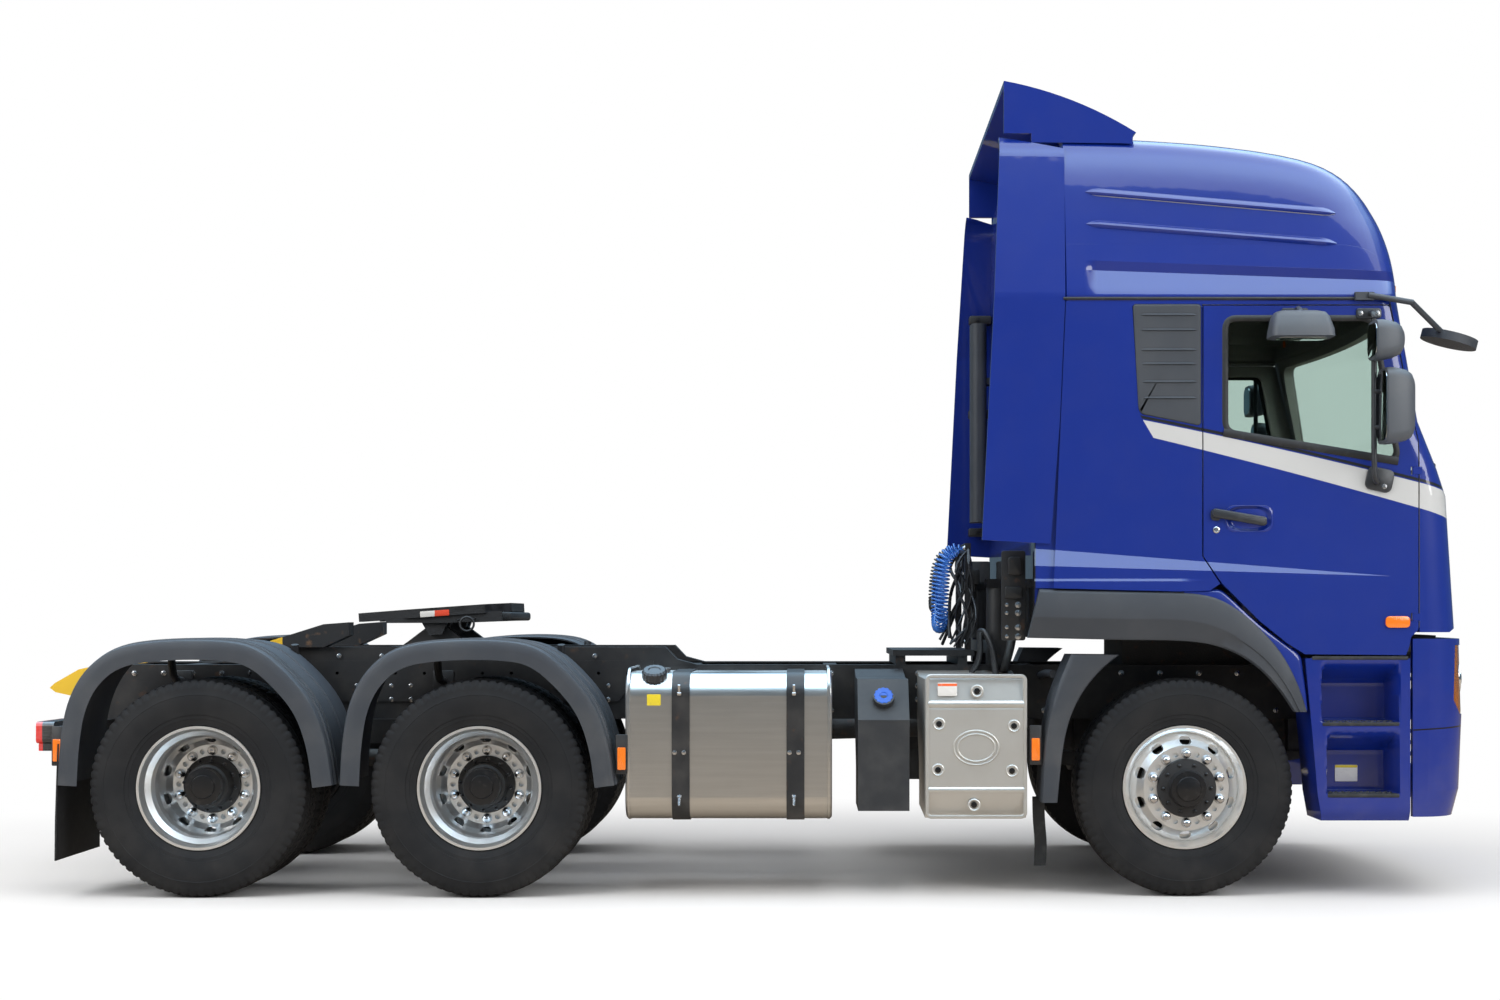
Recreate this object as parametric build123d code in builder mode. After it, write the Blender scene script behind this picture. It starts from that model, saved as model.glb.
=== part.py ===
"""Three-axle cab-over tractor unit with a high-roof sleeper cab.

Millimetres.  +X points forward, +Y to the truck's left, +Z up, and the ground is Z = 0.
Sketches are drawn as (station, height) in side view, (station, y) in plan and (y, height)
in cross-section, where a station is the distance forward of the front axle.
"""

import os
from math import pi, radians, tan

from build123d import *

# ---------------------------------------------------------------- overall
WHEELBASE = 3400.0          # front axle to middle axle
BOGIE_SPREAD = 1350.0       # middle axle to rear axle
REAR_OVERHANG = 982.0       # rear axle to the tips of the tail ramps
FRONT_REACH = 1490.0        # front axle to the tip of the overhead mirror
MIDDLE_AXLE = -WHEELBASE
REAR_AXLE = MIDDLE_AXLE - BOGIE_SPREAD
TAIL = REAR_AXLE - REAR_OVERHANG
FRONT_AXLE_X = (-TAIL - FRONT_REACH) / 2      # puts the origin under the middle of the truck
RUN_FIT = 0.05              # radial clearance of a shaft in its bore
SEAT_GAP = 0.3              # gap left where curved or soft pieces seat on others
MOVE_GAP = 6.0              # smallest gap round a piece that moves

# ---------------------------------------------------------------- wheels and tyres
TYRE_RADIUS = 527.0
TYRE_WIDTH = 279.0
BEAD_RADIUS = 288.5
RIM_FLANGE_RADIUS = 298.5
RIM_HALF_WIDTH = 117.0
RIM_WALL = 12.0
DISC_OFFSET = 155.0         # rim centre plane to the disc's mounting face
DISC_THICKNESS = 22.0
SPIGOT_RADIUS = 140.0
STUD_CIRCLE = 335.0
STUD_COUNT = 10
STUD_HOLE_RADIUS = 13.0
HAND_HOLE_CIRCLE = 456.0
HAND_HOLE_LENGTH = 56.0
HAND_HOLE_WIDTH = 40.0
FRONT_TRACK = 2040.0
DISC_FACE_Y = 920.0         # where the two discs of a twin wheel meet
AXLE_Z = TYRE_RADIUS
DRUM_RADIUS = 205.0
DRUM_WALL = 14.0

# ---------------------------------------------------------------- frame
RAIL_TOP = 1104.0
RAIL_HEIGHT = 280.0
RAIL_FLANGE = 80.0
RAIL_WEB = 8.0
FRAME_WIDTH = 860.0
RAIL_FRONT = 1150.0
RAIL_TAIL_GAP = 252.0       # tips of the tail ramps to the rail ends
RAIL_BOTTOM = RAIL_TOP - RAIL_HEIGHT
RAIL_OUT = FRAME_WIDTH / 2
RAIL_IN = RAIL_OUT - RAIL_WEB
RAIL_REAR = TAIL + RAIL_TAIL_GAP
CROSS_HEIGHT = 170.0
CROSS_WIDTH = 70.0
CROSS_WALL = 10.0
LAMP_BAR_DEPTH = 40.0
LAMP_BAR_Z = (742.0, RAIL_BOTTOM)
COUPLING_SPACING_Y = 160.0
COUPLING_SPACING_Z = 100.0
COUPLING_HOLE_RADIUS = 10.5

# ---------------------------------------------------------------- fifth wheel
KINGPIN_LEAD = 325.0        # bogie centre to kingpin
BOGIE_CENTRE = (MIDDLE_AXLE + REAR_AXLE) / 2
KINGPIN = BOGIE_CENTRE + KINGPIN_LEAD
SUBFRAME_TOP = 1195.0
SUBFRAME_FRONT = KINGPIN + 1254.0
SUBFRAME_REAR = KINGPIN - 950.0
PLATE_PIVOT_Z = 1290.0
PLATE_TOP_RISE = 108.0      # pivot to the plate's top face
PLATE_TILT = 4.0            # the plate rests rear end down
PLATE_WIDTH = 900.0
PLATE_FRONT = 380.0
PLATE_REAR = 410.0
PLATE_THICKNESS = 45.0
THROAT_RADIUS = 25.6
THROAT_MOUTH = 420.0        # width between the plate's horns at the rear
PIVOT_PIN_RADIUS = 25.0

# ---------------------------------------------------------------- axles, steering, springs
KINGPIN_Y = 890.0           # steering pivot
KINGPIN_RADIUS = 25.0
FIST_RADIUS = 46.0
FIST_Z = (455.0, 599.0)
EAR_THICKNESS = 52.0
SPINDLE_RADIUS = 40.0
REAR_SPINDLE_RADIUS = 50.0
AXLE_TUBE_RADIUS = 72.0
SPRING_Y = 430.0
SPRING_WIDTH = 90.0

# ---------------------------------------------------------------- cab shell
CAB_HALF_WIDTH = 1245.0
OUTSIDE = CAB_HALF_WIDTH + 55.0  # clear of the cab's sides
INSIDE = CAB_HALF_WIDTH - 95.0
CAB_REAR = -735.0
WALL = 55.0
GUTTER_Z = 2860.0
NOSE_BULGE = 105.0          # how far the nose's middle stands ahead of its corners
FLOOR_Z = (1330.0, 1400.0)
FLOOR_EDGE_GAP = 12.0       # lets the door's front edge swing inwards past the floor
TILT_PIVOT = (1345.0, 1145.0)
TILT_PIN_RADIUS = 15.0
TILT_ARM_Y = 400.0
# z, corner station, corner set in from the side, station where the flat side ends
CAB_SECTIONS = [
    (1150.0, 1320.0, 155.0, 1150.0),
    (1932.0, 1266.0, 145.0, 1110.0),
    (2060.0, 1215.0, 120.0, 1095.0),
    (2290.0, 1118.0, 100.0, 1015.0),
    (GUTTER_Z, 1018.0, 100.0, 915.0),
]
ROOF_SECTIONS = [
    (GUTTER_Z, 1018.0, 100.0, 915.0),
    (3060.0, 1000.0, 135.0, 850.0),
    (3350.0, 915.0, 185.0, 700.0),
    (3560.0, 755.0, 235.0, 480.0),
    (3800.0, 460.0, 265.0, 180.0),
]
# station, height of the roof's middle
ROOF_LINE = [
    (-1010.0, 3748.0), (-300.0, 3738.0), (0.0, 3722.0), (560.0, 3655.0), (760.0, 3600.0), (1400.0, 3270.0),
]
LEAN_Z = 2890.0             # above this the roof's sides lean in
LEAN_SLOPE = 0.18
SHOULDER_DROP = 48.0        # from the roof's middle down to its shoulders
SHOULDER_RADIUS = 150.0

# ---------------------------------------------------------------- doors
DOOR_GAP = 6.0
DOOR_HINGE = (1075.0, CAB_HALF_WIDTH - 8.0)  # station and distance from the middle
HINGE_HEIGHTS = (1350.0, 2050.0)
HINGE_HEIGHT = 36.0
HINGE_RADIUS = 8.0
HINGE_PIN_RADIUS = 5.0
DOOR_OUTLINE = [
    (70, 2838), (70, 1641), (158, 1512), (340, 1330), (470, 1225), (555, 1172),
    (1038, 1168), (1055, 1212), (1062, 1254), (1097, 1290), (1097, 2196), (960, 2838),
]
WINDOW_OUTLINE = [(173, 2779), (173, 2234), (1003, 2097), (880, 2779)]
WINDOW_RADIUS = 45.0
GLASS_THICKNESS = 6.0

# ---------------------------------------------------------------- side equipment
TANK_LENGTH = 994.0
TANK_REAR = MIDDLE_AXLE + 702.0
TANK_Y = (-1200.0, -500.0)
TANK_Z = (374.0, 1080.0)
TANK_RADIUS = 110.0
STRAP_WIDTH = 86.0
STRAP_THICKNESS = 6.0
STRAP_STATIONS = [TANK_REAR + 267.0, TANK_REAR + 818.0]


# ================================================================ sketch planes and helpers
def side_plane(y):
    """Side view at y: local x is the station, local y the height, normal to the right."""
    return Plane(origin=(FRONT_AXLE_X, y, 0), x_dir=(1, 0, 0), z_dir=(0, -1, 0))


def cross_plane(station):
    """Cross-section at a station: local x is y, local y the height, normal forward."""
    return Plane(origin=(FRONT_AXLE_X + station, 0, 0), x_dir=(0, 1, 0), z_dir=(1, 0, 0))


def plan_plane(z):
    """Plan view at a height: local x is the station, local y is y, normal up."""
    return Plane(origin=(FRONT_AXLE_X, 0, z))


def side_slab(outline, y_right, y_left, radius=0.0):
    """A slab with a side-view outline, from y_right to y_left, its outline's corners rounded."""
    with BuildPart() as slab:
        with BuildSketch(side_plane(y_left)) as face:
            with BuildLine():
                Polyline(*outline, close=True)
            make_face()
            if radius:
                fillet(face.vertices(), radius)
        extrude(amount=y_left - y_right)
    return slab.part


def cross_slab(outline, rear, front, radius=0.0):
    """A slab with a cross-section outline, from the rear station to the front one."""
    with BuildPart() as slab:
        with BuildSketch(cross_plane(rear)) as face:
            with BuildLine():
                Polyline(*outline, close=True)
            make_face()
            if radius:
                fillet(face.vertices(), radius)
        extrude(amount=front - rear)
    return slab.part


def block(stations, ys, zs, radius=0.0):
    """A box between two stations, two y and two heights, its long edges rounded."""
    with BuildPart() as box:
        with BuildSketch(cross_plane(stations[0])):
            with Locations(((ys[0] + ys[1]) / 2, (zs[0] + zs[1]) / 2)):
                if radius:
                    RectangleRounded(ys[1] - ys[0], zs[1] - zs[0], radius)
                else:
                    Rectangle(ys[1] - ys[0], zs[1] - zs[0])
        extrude(amount=stations[1] - stations[0])
    return box.part


def lathe(profile, station, height):
    """A solid of revolution about the cross-axis at a station and height.

    The profile is a closed list of (y, radius) points.
    """
    with BuildPart() as turned:
        with BuildSketch(Plane(origin=(FRONT_AXLE_X + station, 0, height))):
            with BuildLine():
                Polyline(*[(radius, y) for y, radius in profile], close=True)
            make_face()
        revolve(axis=Axis((FRONT_AXLE_X + station, 0, height), (0, 1, 0)))
    return turned.part


def rod(start, end, radius):
    """A round bar between two points given as (station, y, z)."""
    a = Vector(FRONT_AXLE_X + start[0], start[1], start[2])
    b = Vector(FRONT_AXLE_X + end[0], end[1], end[2])
    with BuildPart() as bar:
        with BuildSketch(Plane(origin=a, z_dir=b - a)):
            Circle(radius)
        extrude(amount=(b - a).length)
    return bar.part


def mirrored(part):
    """The left-hand copy of a right-hand part."""
    return mirror(part, about=Plane.XZ, mode=Mode.PRIVATE)


def write(name, builder):
    """Label a finished piece and write its STEP file."""
    builder.part.label = name
    export_step(builder.part, f"parts/{name}.step")
    print(f"{name:20s} {len(builder.part.solids())} solids {builder.part.volume / 1e9:9.5f} m3")


os.makedirs("parts", exist_ok=True)


# ================================================================ wheels
def tyre_profile(centre_y):
    """Half-round shoulders and bulged walls round a flat tread: (y, radius) points."""
    half = TYRE_WIDTH / 2
    tread = 0.77 * half
    outline = [
        (-103, BEAD_RADIUS), (-103, 301), (-112, 304), (-0.9 * half, 350), (-half, 425),
        (-0.93 * half, 490), (-tread, TYRE_RADIUS - 7), (0, TYRE_RADIUS),
        (tread, TYRE_RADIUS - 7), (0.93 * half, 490), (half, 425),
        (0.9 * half, 350), (112, 304), (103, 301), (103, BEAD_RADIUS),
    ]
    return [(centre_y + y, radius) for y, radius in outline]


def rim_profile(centre_y, facing):
    """A drop-centre rim with its disc: facing is +1 where the disc lies towards +Y."""
    disc = DISC_OFFSET
    back = disc - DISC_THICKNESS
    seat = BEAD_RADIUS - SEAT_GAP
    well = 262.0
    inner = well - RIM_WALL
    outline = [
        (-RIM_HALF_WIDTH, RIM_FLANGE_RADIUS), (-105, RIM_FLANGE_RADIUS), (-103.5, seat), (-70, seat - 3),
        (-50, well), (45, well), (70, seat - 3), (103.5, seat), (105, RIM_FLANGE_RADIUS),
        (RIM_HALF_WIDTH, RIM_FLANGE_RADIUS), (RIM_HALF_WIDTH, 286), (100, 272), (80, inner + 12),
        (disc - 34, 236), (disc, 205), (disc, SPIGOT_RADIUS + 0.5),
        (back, SPIGOT_RADIUS + 0.5), (back, 196), (back - 34, 222), (44, 238), (20, inner),
        (-45, inner), (-72, 272), (-RIM_HALF_WIDTH, 286),
    ]
    return [(centre_y + facing * y, radius) for y, radius in outline]


def pierced_rim(station, centre_y, facing):
    """A rim with stud holes and oval hand holes through its disc."""
    disc_y = centre_y + facing * (DISC_OFFSET + 30)
    drill = Plane(origin=(FRONT_AXLE_X + station, disc_y, AXLE_Z), x_dir=(1, 0, 0), z_dir=(0, -facing, 0))
    with BuildPart() as rim:
        add(lathe(rim_profile(centre_y, facing), station, AXLE_Z))
        with BuildSketch(drill):
            with PolarLocations(STUD_CIRCLE / 2, STUD_COUNT):
                Circle(STUD_HOLE_RADIUS)
            with PolarLocations(HAND_HOLE_CIRCLE / 2, STUD_COUNT, start_angle=180 / STUD_COUNT):
                SlotOverall(HAND_HOLE_LENGTH, HAND_HOLE_WIDTH, rotation=90)
        extrude(amount=110, mode=Mode.SUBTRACT)
    return rim.part


def front_hub_profile():
    """Front hub with its brake drum, spigot and cap, open inboard over the spindle."""
    face = FRONT_TRACK / 2 + DISC_OFFSET - DISC_THICKNESS
    drum_in = 950.0
    bore = SPINDLE_RADIUS + RUN_FIT
    return [
        (drum_in, DRUM_RADIUS), (face - 12, DRUM_RADIUS), (face, 195), (face, SPIGOT_RADIUS),
        (face + 46, SPIGOT_RADIUS), (face + 52, 92), (face + 88, 84), (face + 92, 0),
        (face + 20, 0), (face + 20, bore), (990, bore), (990, 84), (face - 40, 84),
        (face - 40, DRUM_RADIUS - DRUM_WALL), (drum_in, DRUM_RADIUS - DRUM_WALL),
    ]


def rear_hub_profile():
    """Rear hub with its brake drum inboard, and the axle shaft's flange outboard."""
    face = DISC_FACE_Y - DISC_THICKNESS
    drum_in = 645.0
    bore = REAR_SPINDLE_RADIUS + RUN_FIT
    return [
        (drum_in, DRUM_RADIUS), (face - 14, DRUM_RADIUS), (face, 195), (face, SPIGOT_RADIUS),
        (face + 60, SPIGOT_RADIUS), (face + 74, 112), (face + 150, 104), (face + 156, 92), (face + 186, 84),
        (face + 190, 0), (face + 80, 0), (face + 80, bore), (face - 60, bore), (face - 60, 96),
        (face - 30, 110), (face - 30, DRUM_RADIUS - DRUM_WALL), (drum_in, DRUM_RADIUS - DRUM_WALL),
    ]


with BuildPart() as front_wheel_left:
    add(pierced_rim(0, FRONT_TRACK / 2, 1))
    add(lathe(front_hub_profile(), 0, AXLE_Z))
with BuildPart() as front_wheel_right:
    add(mirrored(front_wheel_left.part))
with BuildPart() as front_tyre_left:
    add(lathe(tyre_profile(FRONT_TRACK / 2), 0, AXLE_Z))
with BuildPart() as front_tyre_right:
    add(mirrored(front_tyre_left.part))
write("front_wheel_left", front_wheel_left)
write("front_wheel_right", front_wheel_right)
write("front_tyre_left", front_tyre_left)
write("front_tyre_right", front_tyre_right)

with BuildPart() as twin_wheel:
    add(pierced_rim(MIDDLE_AXLE, DISC_FACE_Y + DISC_OFFSET, -1))
    add(pierced_rim(MIDDLE_AXLE, DISC_FACE_Y - DISC_OFFSET, 1))
    add(lathe(rear_hub_profile(), MIDDLE_AXLE, AXLE_Z))
with BuildPart() as twin_tyres:
    add(lathe(tyre_profile(DISC_FACE_Y + DISC_OFFSET), MIDDLE_AXLE, AXLE_Z))
    add(lathe(tyre_profile(DISC_FACE_Y - DISC_OFFSET), MIDDLE_AXLE, AXLE_Z))
for axle_name, axle in (("middle", MIDDLE_AXLE), ("rear", REAR_AXLE)):
    to_axle = Location((axle - MIDDLE_AXLE, 0, 0))
    for piece_name, twin in (("wheels", twin_wheel.part), ("tyres", twin_tyres.part)):
        with BuildPart() as left_twin:
            add(twin.moved(to_axle))
        with BuildPart() as right_twin:
            add(mirrored(twin).moved(to_axle))
        write(f"{axle_name}_{piece_name}_left", left_twin)
        write(f"{axle_name}_{piece_name}_right", right_twin)


# ================================================================ frame
def channel(y_out, y_in, z_low, z_high, wall, rear, front):
    """A C-section rail: the web at y_out, the flanges reaching to y_in."""
    with BuildPart() as rail:
        with BuildSketch(cross_plane(rear)):
            with BuildLine():
                Polyline(
                    (y_in, z_low), (y_out, z_low), (y_out, z_high), (y_in, z_high),
                    (y_in, z_high - wall), (y_out + wall, z_high - wall),
                    (y_out + wall, z_low + wall), (y_in, z_low + wall), close=True,
                )
            make_face()
        extrude(amount=front - rear)
    return rail.part


with BuildPart() as frame_rails:
    add(channel(-RAIL_OUT, -RAIL_OUT + RAIL_FLANGE, RAIL_BOTTOM, RAIL_TOP, RAIL_WEB, RAIL_REAR, RAIL_FRONT))
    mirror(about=Plane.XZ)
write("frame_rails", frame_rails)

# Crossmembers are open channels between the webs; the last one takes the tow coupling.
CROSS_STATIONS = [-640.0, -1700.0, SUBFRAME_FRONT + 60.0, MIDDLE_AXLE + 330.0, BOGIE_CENTRE,
                  REAR_AXLE - 380.0]
CROSS_Z = RAIL_TOP - RAIL_WEB
with BuildPart() as crossmembers:
    for station in CROSS_STATIONS:
        with BuildSketch(side_plane(RAIL_IN)):
            with BuildLine():
                Polyline(
                    (station - CROSS_WIDTH / 2, CROSS_Z - CROSS_HEIGHT),
                    (station - CROSS_WIDTH / 2, CROSS_Z),
                    (station + CROSS_WIDTH / 2, CROSS_Z), (station + CROSS_WIDTH / 2,
                                                           CROSS_Z - CROSS_HEIGHT),
                    (station + CROSS_WIDTH / 2 - CROSS_WALL, CROSS_Z - CROSS_HEIGHT),
                    (station + CROSS_WIDTH / 2 - CROSS_WALL, CROSS_Z - CROSS_WALL),
                    (station - CROSS_WIDTH / 2 + CROSS_WALL, CROSS_Z - CROSS_WALL),
                    (station - CROSS_WIDTH / 2 + CROSS_WALL, CROSS_Z - CROSS_HEIGHT), close=True,
                )
            make_face()
        extrude(amount=2 * RAIL_IN)
    tail_z = (RAIL_BOTTOM + RAIL_WEB, CROSS_Z)
    add(block((RAIL_REAR, RAIL_REAR + 14), (-RAIL_IN, RAIL_IN), tail_z))
    with BuildSketch(cross_plane(RAIL_REAR)):
        with Locations((0, sum(tail_z) / 2)):
            with GridLocations(COUPLING_SPACING_Y, COUPLING_SPACING_Z, 2, 2):
                Circle(COUPLING_HOLE_RADIUS)
    extrude(amount=20, mode=Mode.SUBTRACT)
    add(block((RAIL_REAR + 40, RAIL_REAR + 40 + LAMP_BAR_DEPTH), (-1180, 1180), LAMP_BAR_Z))
write("crossmembers", crossmembers)

# Angle rails that spread the coupling's load, with the pedestals that carry its pivot pins.
PEDESTAL_Y = (300.0, 340.0)
PEDESTAL_PIN_BORE = PIVOT_PIN_RADIUS + RUN_FIT
with BuildPart() as subframe:
    rail_outline = [
        (SUBFRAME_REAR, RAIL_TOP), (SUBFRAME_FRONT + 104, RAIL_TOP), (SUBFRAME_FRONT, RAIL_TOP + 28),
        (SUBFRAME_FRONT - 60, SUBFRAME_TOP), (SUBFRAME_REAR, SUBFRAME_TOP),
    ]
    add(side_slab(rail_outline, -RAIL_OUT - 4, -RAIL_OUT + 90))
    add(side_slab([
        (SUBFRAME_REAR, RAIL_BOTTOM + 90), (SUBFRAME_FRONT - 300, RAIL_BOTTOM + 90),
        (SUBFRAME_FRONT - 200, RAIL_TOP - 40), (SUBFRAME_FRONT - 120, RAIL_TOP),
        (SUBFRAME_FRONT - 120, RAIL_TOP + 20),
        (SUBFRAME_REAR, RAIL_TOP + 20),
    ], -RAIL_OUT - 12, -RAIL_OUT))
    pedestal = [
        (KINGPIN - 190, SUBFRAME_TOP), (KINGPIN + 190, SUBFRAME_TOP), (KINGPIN + 150, SUBFRAME_TOP + 28),
        (KINGPIN + 56, PLATE_PIVOT_Z + 4), (KINGPIN + 30, PLATE_PIVOT_Z + 46),
        (KINGPIN - 30, PLATE_PIVOT_Z + 46),
        (KINGPIN - 56, PLATE_PIVOT_Z + 4), (KINGPIN - 150, SUBFRAME_TOP + 28),
    ]
    add(side_slab(pedestal, -PEDESTAL_Y[1] - 20, -PEDESTAL_Y[0]))
    with BuildSketch(side_plane(-PEDESTAL_Y[0] + 10)):
        with Locations((KINGPIN, PLATE_PIVOT_Z)):
            Circle(PEDESTAL_PIN_BORE)
    extrude(amount=90, mode=Mode.SUBTRACT)
    mirror(about=Plane.XZ)
    add(block((KINGPIN - 260, KINGPIN + 260), (-RAIL_OUT + 90, RAIL_OUT - 90),
              (SUBFRAME_TOP - 22, SUBFRAME_TOP)))
write("subframe", subframe)

# Ramps that lift a trailer's nose: a pair behind the coupling and a pair at the tail.
with BuildPart() as loading_ramps:
    add(side_slab([
        (KINGPIN - 834, SUBFRAME_TOP), (KINGPIN - 834, SUBFRAME_TOP + 32),
        (KINGPIN - 560, SUBFRAME_TOP + 118),
        (KINGPIN - 430, SUBFRAME_TOP + 128), (KINGPIN - 430, SUBFRAME_TOP + 60),
        (KINGPIN - 560, SUBFRAME_TOP),
    ], -RAIL_OUT - 60, -RAIL_OUT + 60))
    add(side_slab([
        (TAIL, 985), (TAIL + 28, 1010), (TAIL + 150, 1080), (RAIL_REAR, 1102), (RAIL_REAR, 916),
        (TAIL + 130, 940), (TAIL + 30, 962),
    ], -RAIL_OUT - 20, -RAIL_OUT + 110))
    mirror(about=Plane.XZ)
write("loading_ramps", loading_ramps)

# ================================================================ fifth-wheel plate
HANGER_THICKNESS = 45.0
with BuildPart() as level_plate:
    under = PLATE_TOP_RISE - PLATE_THICKNESS
    hanger = [(KINGPIN + s, PLATE_PIVOT_Z + z) for s, z in ((-80, under), (-34, -32), (34, -32),
            (80, under))]
    hanger_outer = -PEDESTAL_Y[1] - 20 - MOVE_GAP
    hanger_inner = -PEDESTAL_Y[0] + MOVE_GAP
    add(side_slab(hanger, hanger_outer - HANGER_THICKNESS, hanger_outer))
    add(side_slab(hanger, hanger_inner, hanger_inner + HANGER_THICKNESS))
    add(rod((KINGPIN, hanger_outer - HANGER_THICKNESS, PLATE_PIVOT_Z),
            (KINGPIN, hanger_inner + HANGER_THICKNESS, PLATE_PIVOT_Z), PIVOT_PIN_RADIUS))
    mirror(about=Plane.XZ)
    half = PLATE_WIDTH / 2
    with BuildSketch(Plane(origin=(FRONT_AXLE_X + KINGPIN, 0, PLATE_PIVOT_Z + under))):
        with BuildLine():
            Polyline(
                (PLATE_FRONT, -250), (PLATE_FRONT, 250), (PLATE_FRONT - 110, half), (-120, half),
                (-PLATE_REAR, half - 130), (-PLATE_REAR, THROAT_MOUTH / 2),
                (-120, THROAT_RADIUS + 20), (-60, THROAT_RADIUS), (0, THROAT_RADIUS),
                (0, -THROAT_RADIUS), (-60, -THROAT_RADIUS), (-120, -THROAT_RADIUS - 20),
                (-PLATE_REAR, -THROAT_MOUTH / 2), (-PLATE_REAR, -half + 130), (-120, -half),
                (PLATE_FRONT - 110, -half), close=True,
            )
        make_face()
        Circle(THROAT_RADIUS, mode=Mode.SUBTRACT)
    extrude(amount=PLATE_THICKNESS)
PLATE_PIVOT = Axis((FRONT_AXLE_X + KINGPIN, 0, PLATE_PIVOT_Z), (0, 1, 0))
with BuildPart() as fifth_wheel_plate:
    add(level_plate.part.rotate(PLATE_PIVOT, -PLATE_TILT))
write("fifth_wheel_plate", fifth_wheel_plate)


# ================================================================ front axle and steering
BEAM_HALF_THICKNESS = 46.0
SPRING_PAD_Z = 560.0
EAR_GAP = 6.0
with BuildPart() as front_axle_beam:
    add(cross_slab([
        (-KINGPIN_Y, 480), (-760, 470), (-620, 420), (-500, 400), (500, 400), (620, 420), (760, 470),
        (KINGPIN_Y, 480), (KINGPIN_Y, 574), (740, 566), (620, 548), (SPRING_Y + 80, SPRING_PAD_Z),
        (SPRING_Y - 80, SPRING_PAD_Z), (300, 500), (-300, 500), (-SPRING_Y + 80, SPRING_PAD_Z),
        (-SPRING_Y - 80, SPRING_PAD_Z), (-620, 548), (-740, 566), (-KINGPIN_Y, 574),
    ], -BEAM_HALF_THICKNESS, BEAM_HALF_THICKNESS))
    for y in (-KINGPIN_Y, KINGPIN_Y):
        add(rod((0, y, FIST_Z[0]), (0, y, FIST_Z[1]), FIST_RADIUS))
        with BuildSketch(plan_plane(FIST_Z[0] - 10)):
            with Locations((0, y)):
                Circle(KINGPIN_RADIUS + RUN_FIT)
        extrude(amount=FIST_Z[1] - FIST_Z[0] + 20, mode=Mode.SUBTRACT)
write("front_axle_beam", front_axle_beam)

with BuildPart() as knuckle_left:
    ear_top = FIST_Z[1] + EAR_GAP
    ear_low = FIST_Z[0] - EAR_GAP
    plate_y = KINGPIN_Y + FIST_RADIUS + MOVE_GAP
    add(rod((0, KINGPIN_Y, ear_low - EAR_THICKNESS), (0, KINGPIN_Y, ear_top + EAR_THICKNESS),
            KINGPIN_RADIUS))
    for low in (ear_low - EAR_THICKNESS, ear_top):
        add(rod((0, KINGPIN_Y, low), (0, KINGPIN_Y, low + EAR_THICKNESS), FIST_RADIUS))
        add(block((-FIST_RADIUS, FIST_RADIUS), (KINGPIN_Y, plate_y + 10), (low, low + EAR_THICKNESS)))
    add(block((-FIST_RADIUS, FIST_RADIUS), (plate_y, plate_y + 22),
              (ear_low - EAR_THICKNESS, ear_top + EAR_THICKNESS)))
    add(rod((0, plate_y, AXLE_Z), (0, plate_y + 28, AXLE_Z), DRUM_RADIUS - DRUM_WALL - MOVE_GAP))
    add(rod((0, plate_y + 20, AXLE_Z), (0, FRONT_TRACK / 2 + DISC_OFFSET - 16, AXLE_Z), SPINDLE_RADIUS))
    add(block((-240, -20), (KINGPIN_Y - 20, KINGPIN_Y + 30), (ear_low - EAR_THICKNESS, ear_low - 14)))
with BuildPart() as knuckle_right:
    add(mirrored(knuckle_left.part))
write("knuckle_left", knuckle_left)
write("knuckle_right", knuckle_right)

# ================================================================ springs
LEAF_PACK = 96.0
with BuildPart() as leaf_springs:
    for centre, pad_z, reach, camber in ((0.0, SPRING_PAD_Z, 760.0, 70.0),
                                         (BOGIE_CENTRE, 700.0, 690.0, -92.0)):
        with BuildSketch(side_plane(-SPRING_Y + SPRING_WIDTH / 2)):
            with BuildLine():
                lower = ThreePointArc((centre - reach, pad_z + camber), (centre, pad_z),
                                      (centre + reach, pad_z + camber))
                Line(lower @ 1, (centre + reach, pad_z + camber + 30))
                upper = ThreePointArc((centre + reach, pad_z + camber + 30), (centre, pad_z + LEAF_PACK),
                                      (centre - reach, pad_z + camber + 30))
                Line(upper @ 1, lower @ 0)
            make_face()
        extrude(amount=SPRING_WIDTH)
    for s in (-700.0, 700.0):
        add(block((s - 45, s + 45), (-SPRING_Y - 30, -SPRING_Y + 30), (640, RAIL_BOTTOM)))
    add(block((BOGIE_CENTRE - 150, BOGIE_CENTRE + 150), (-SPRING_Y - 45, -SPRING_Y + 45),
              (780, RAIL_BOTTOM)))
    mirror(about=Plane.XZ)
write("leaf_springs", leaf_springs)

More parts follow.
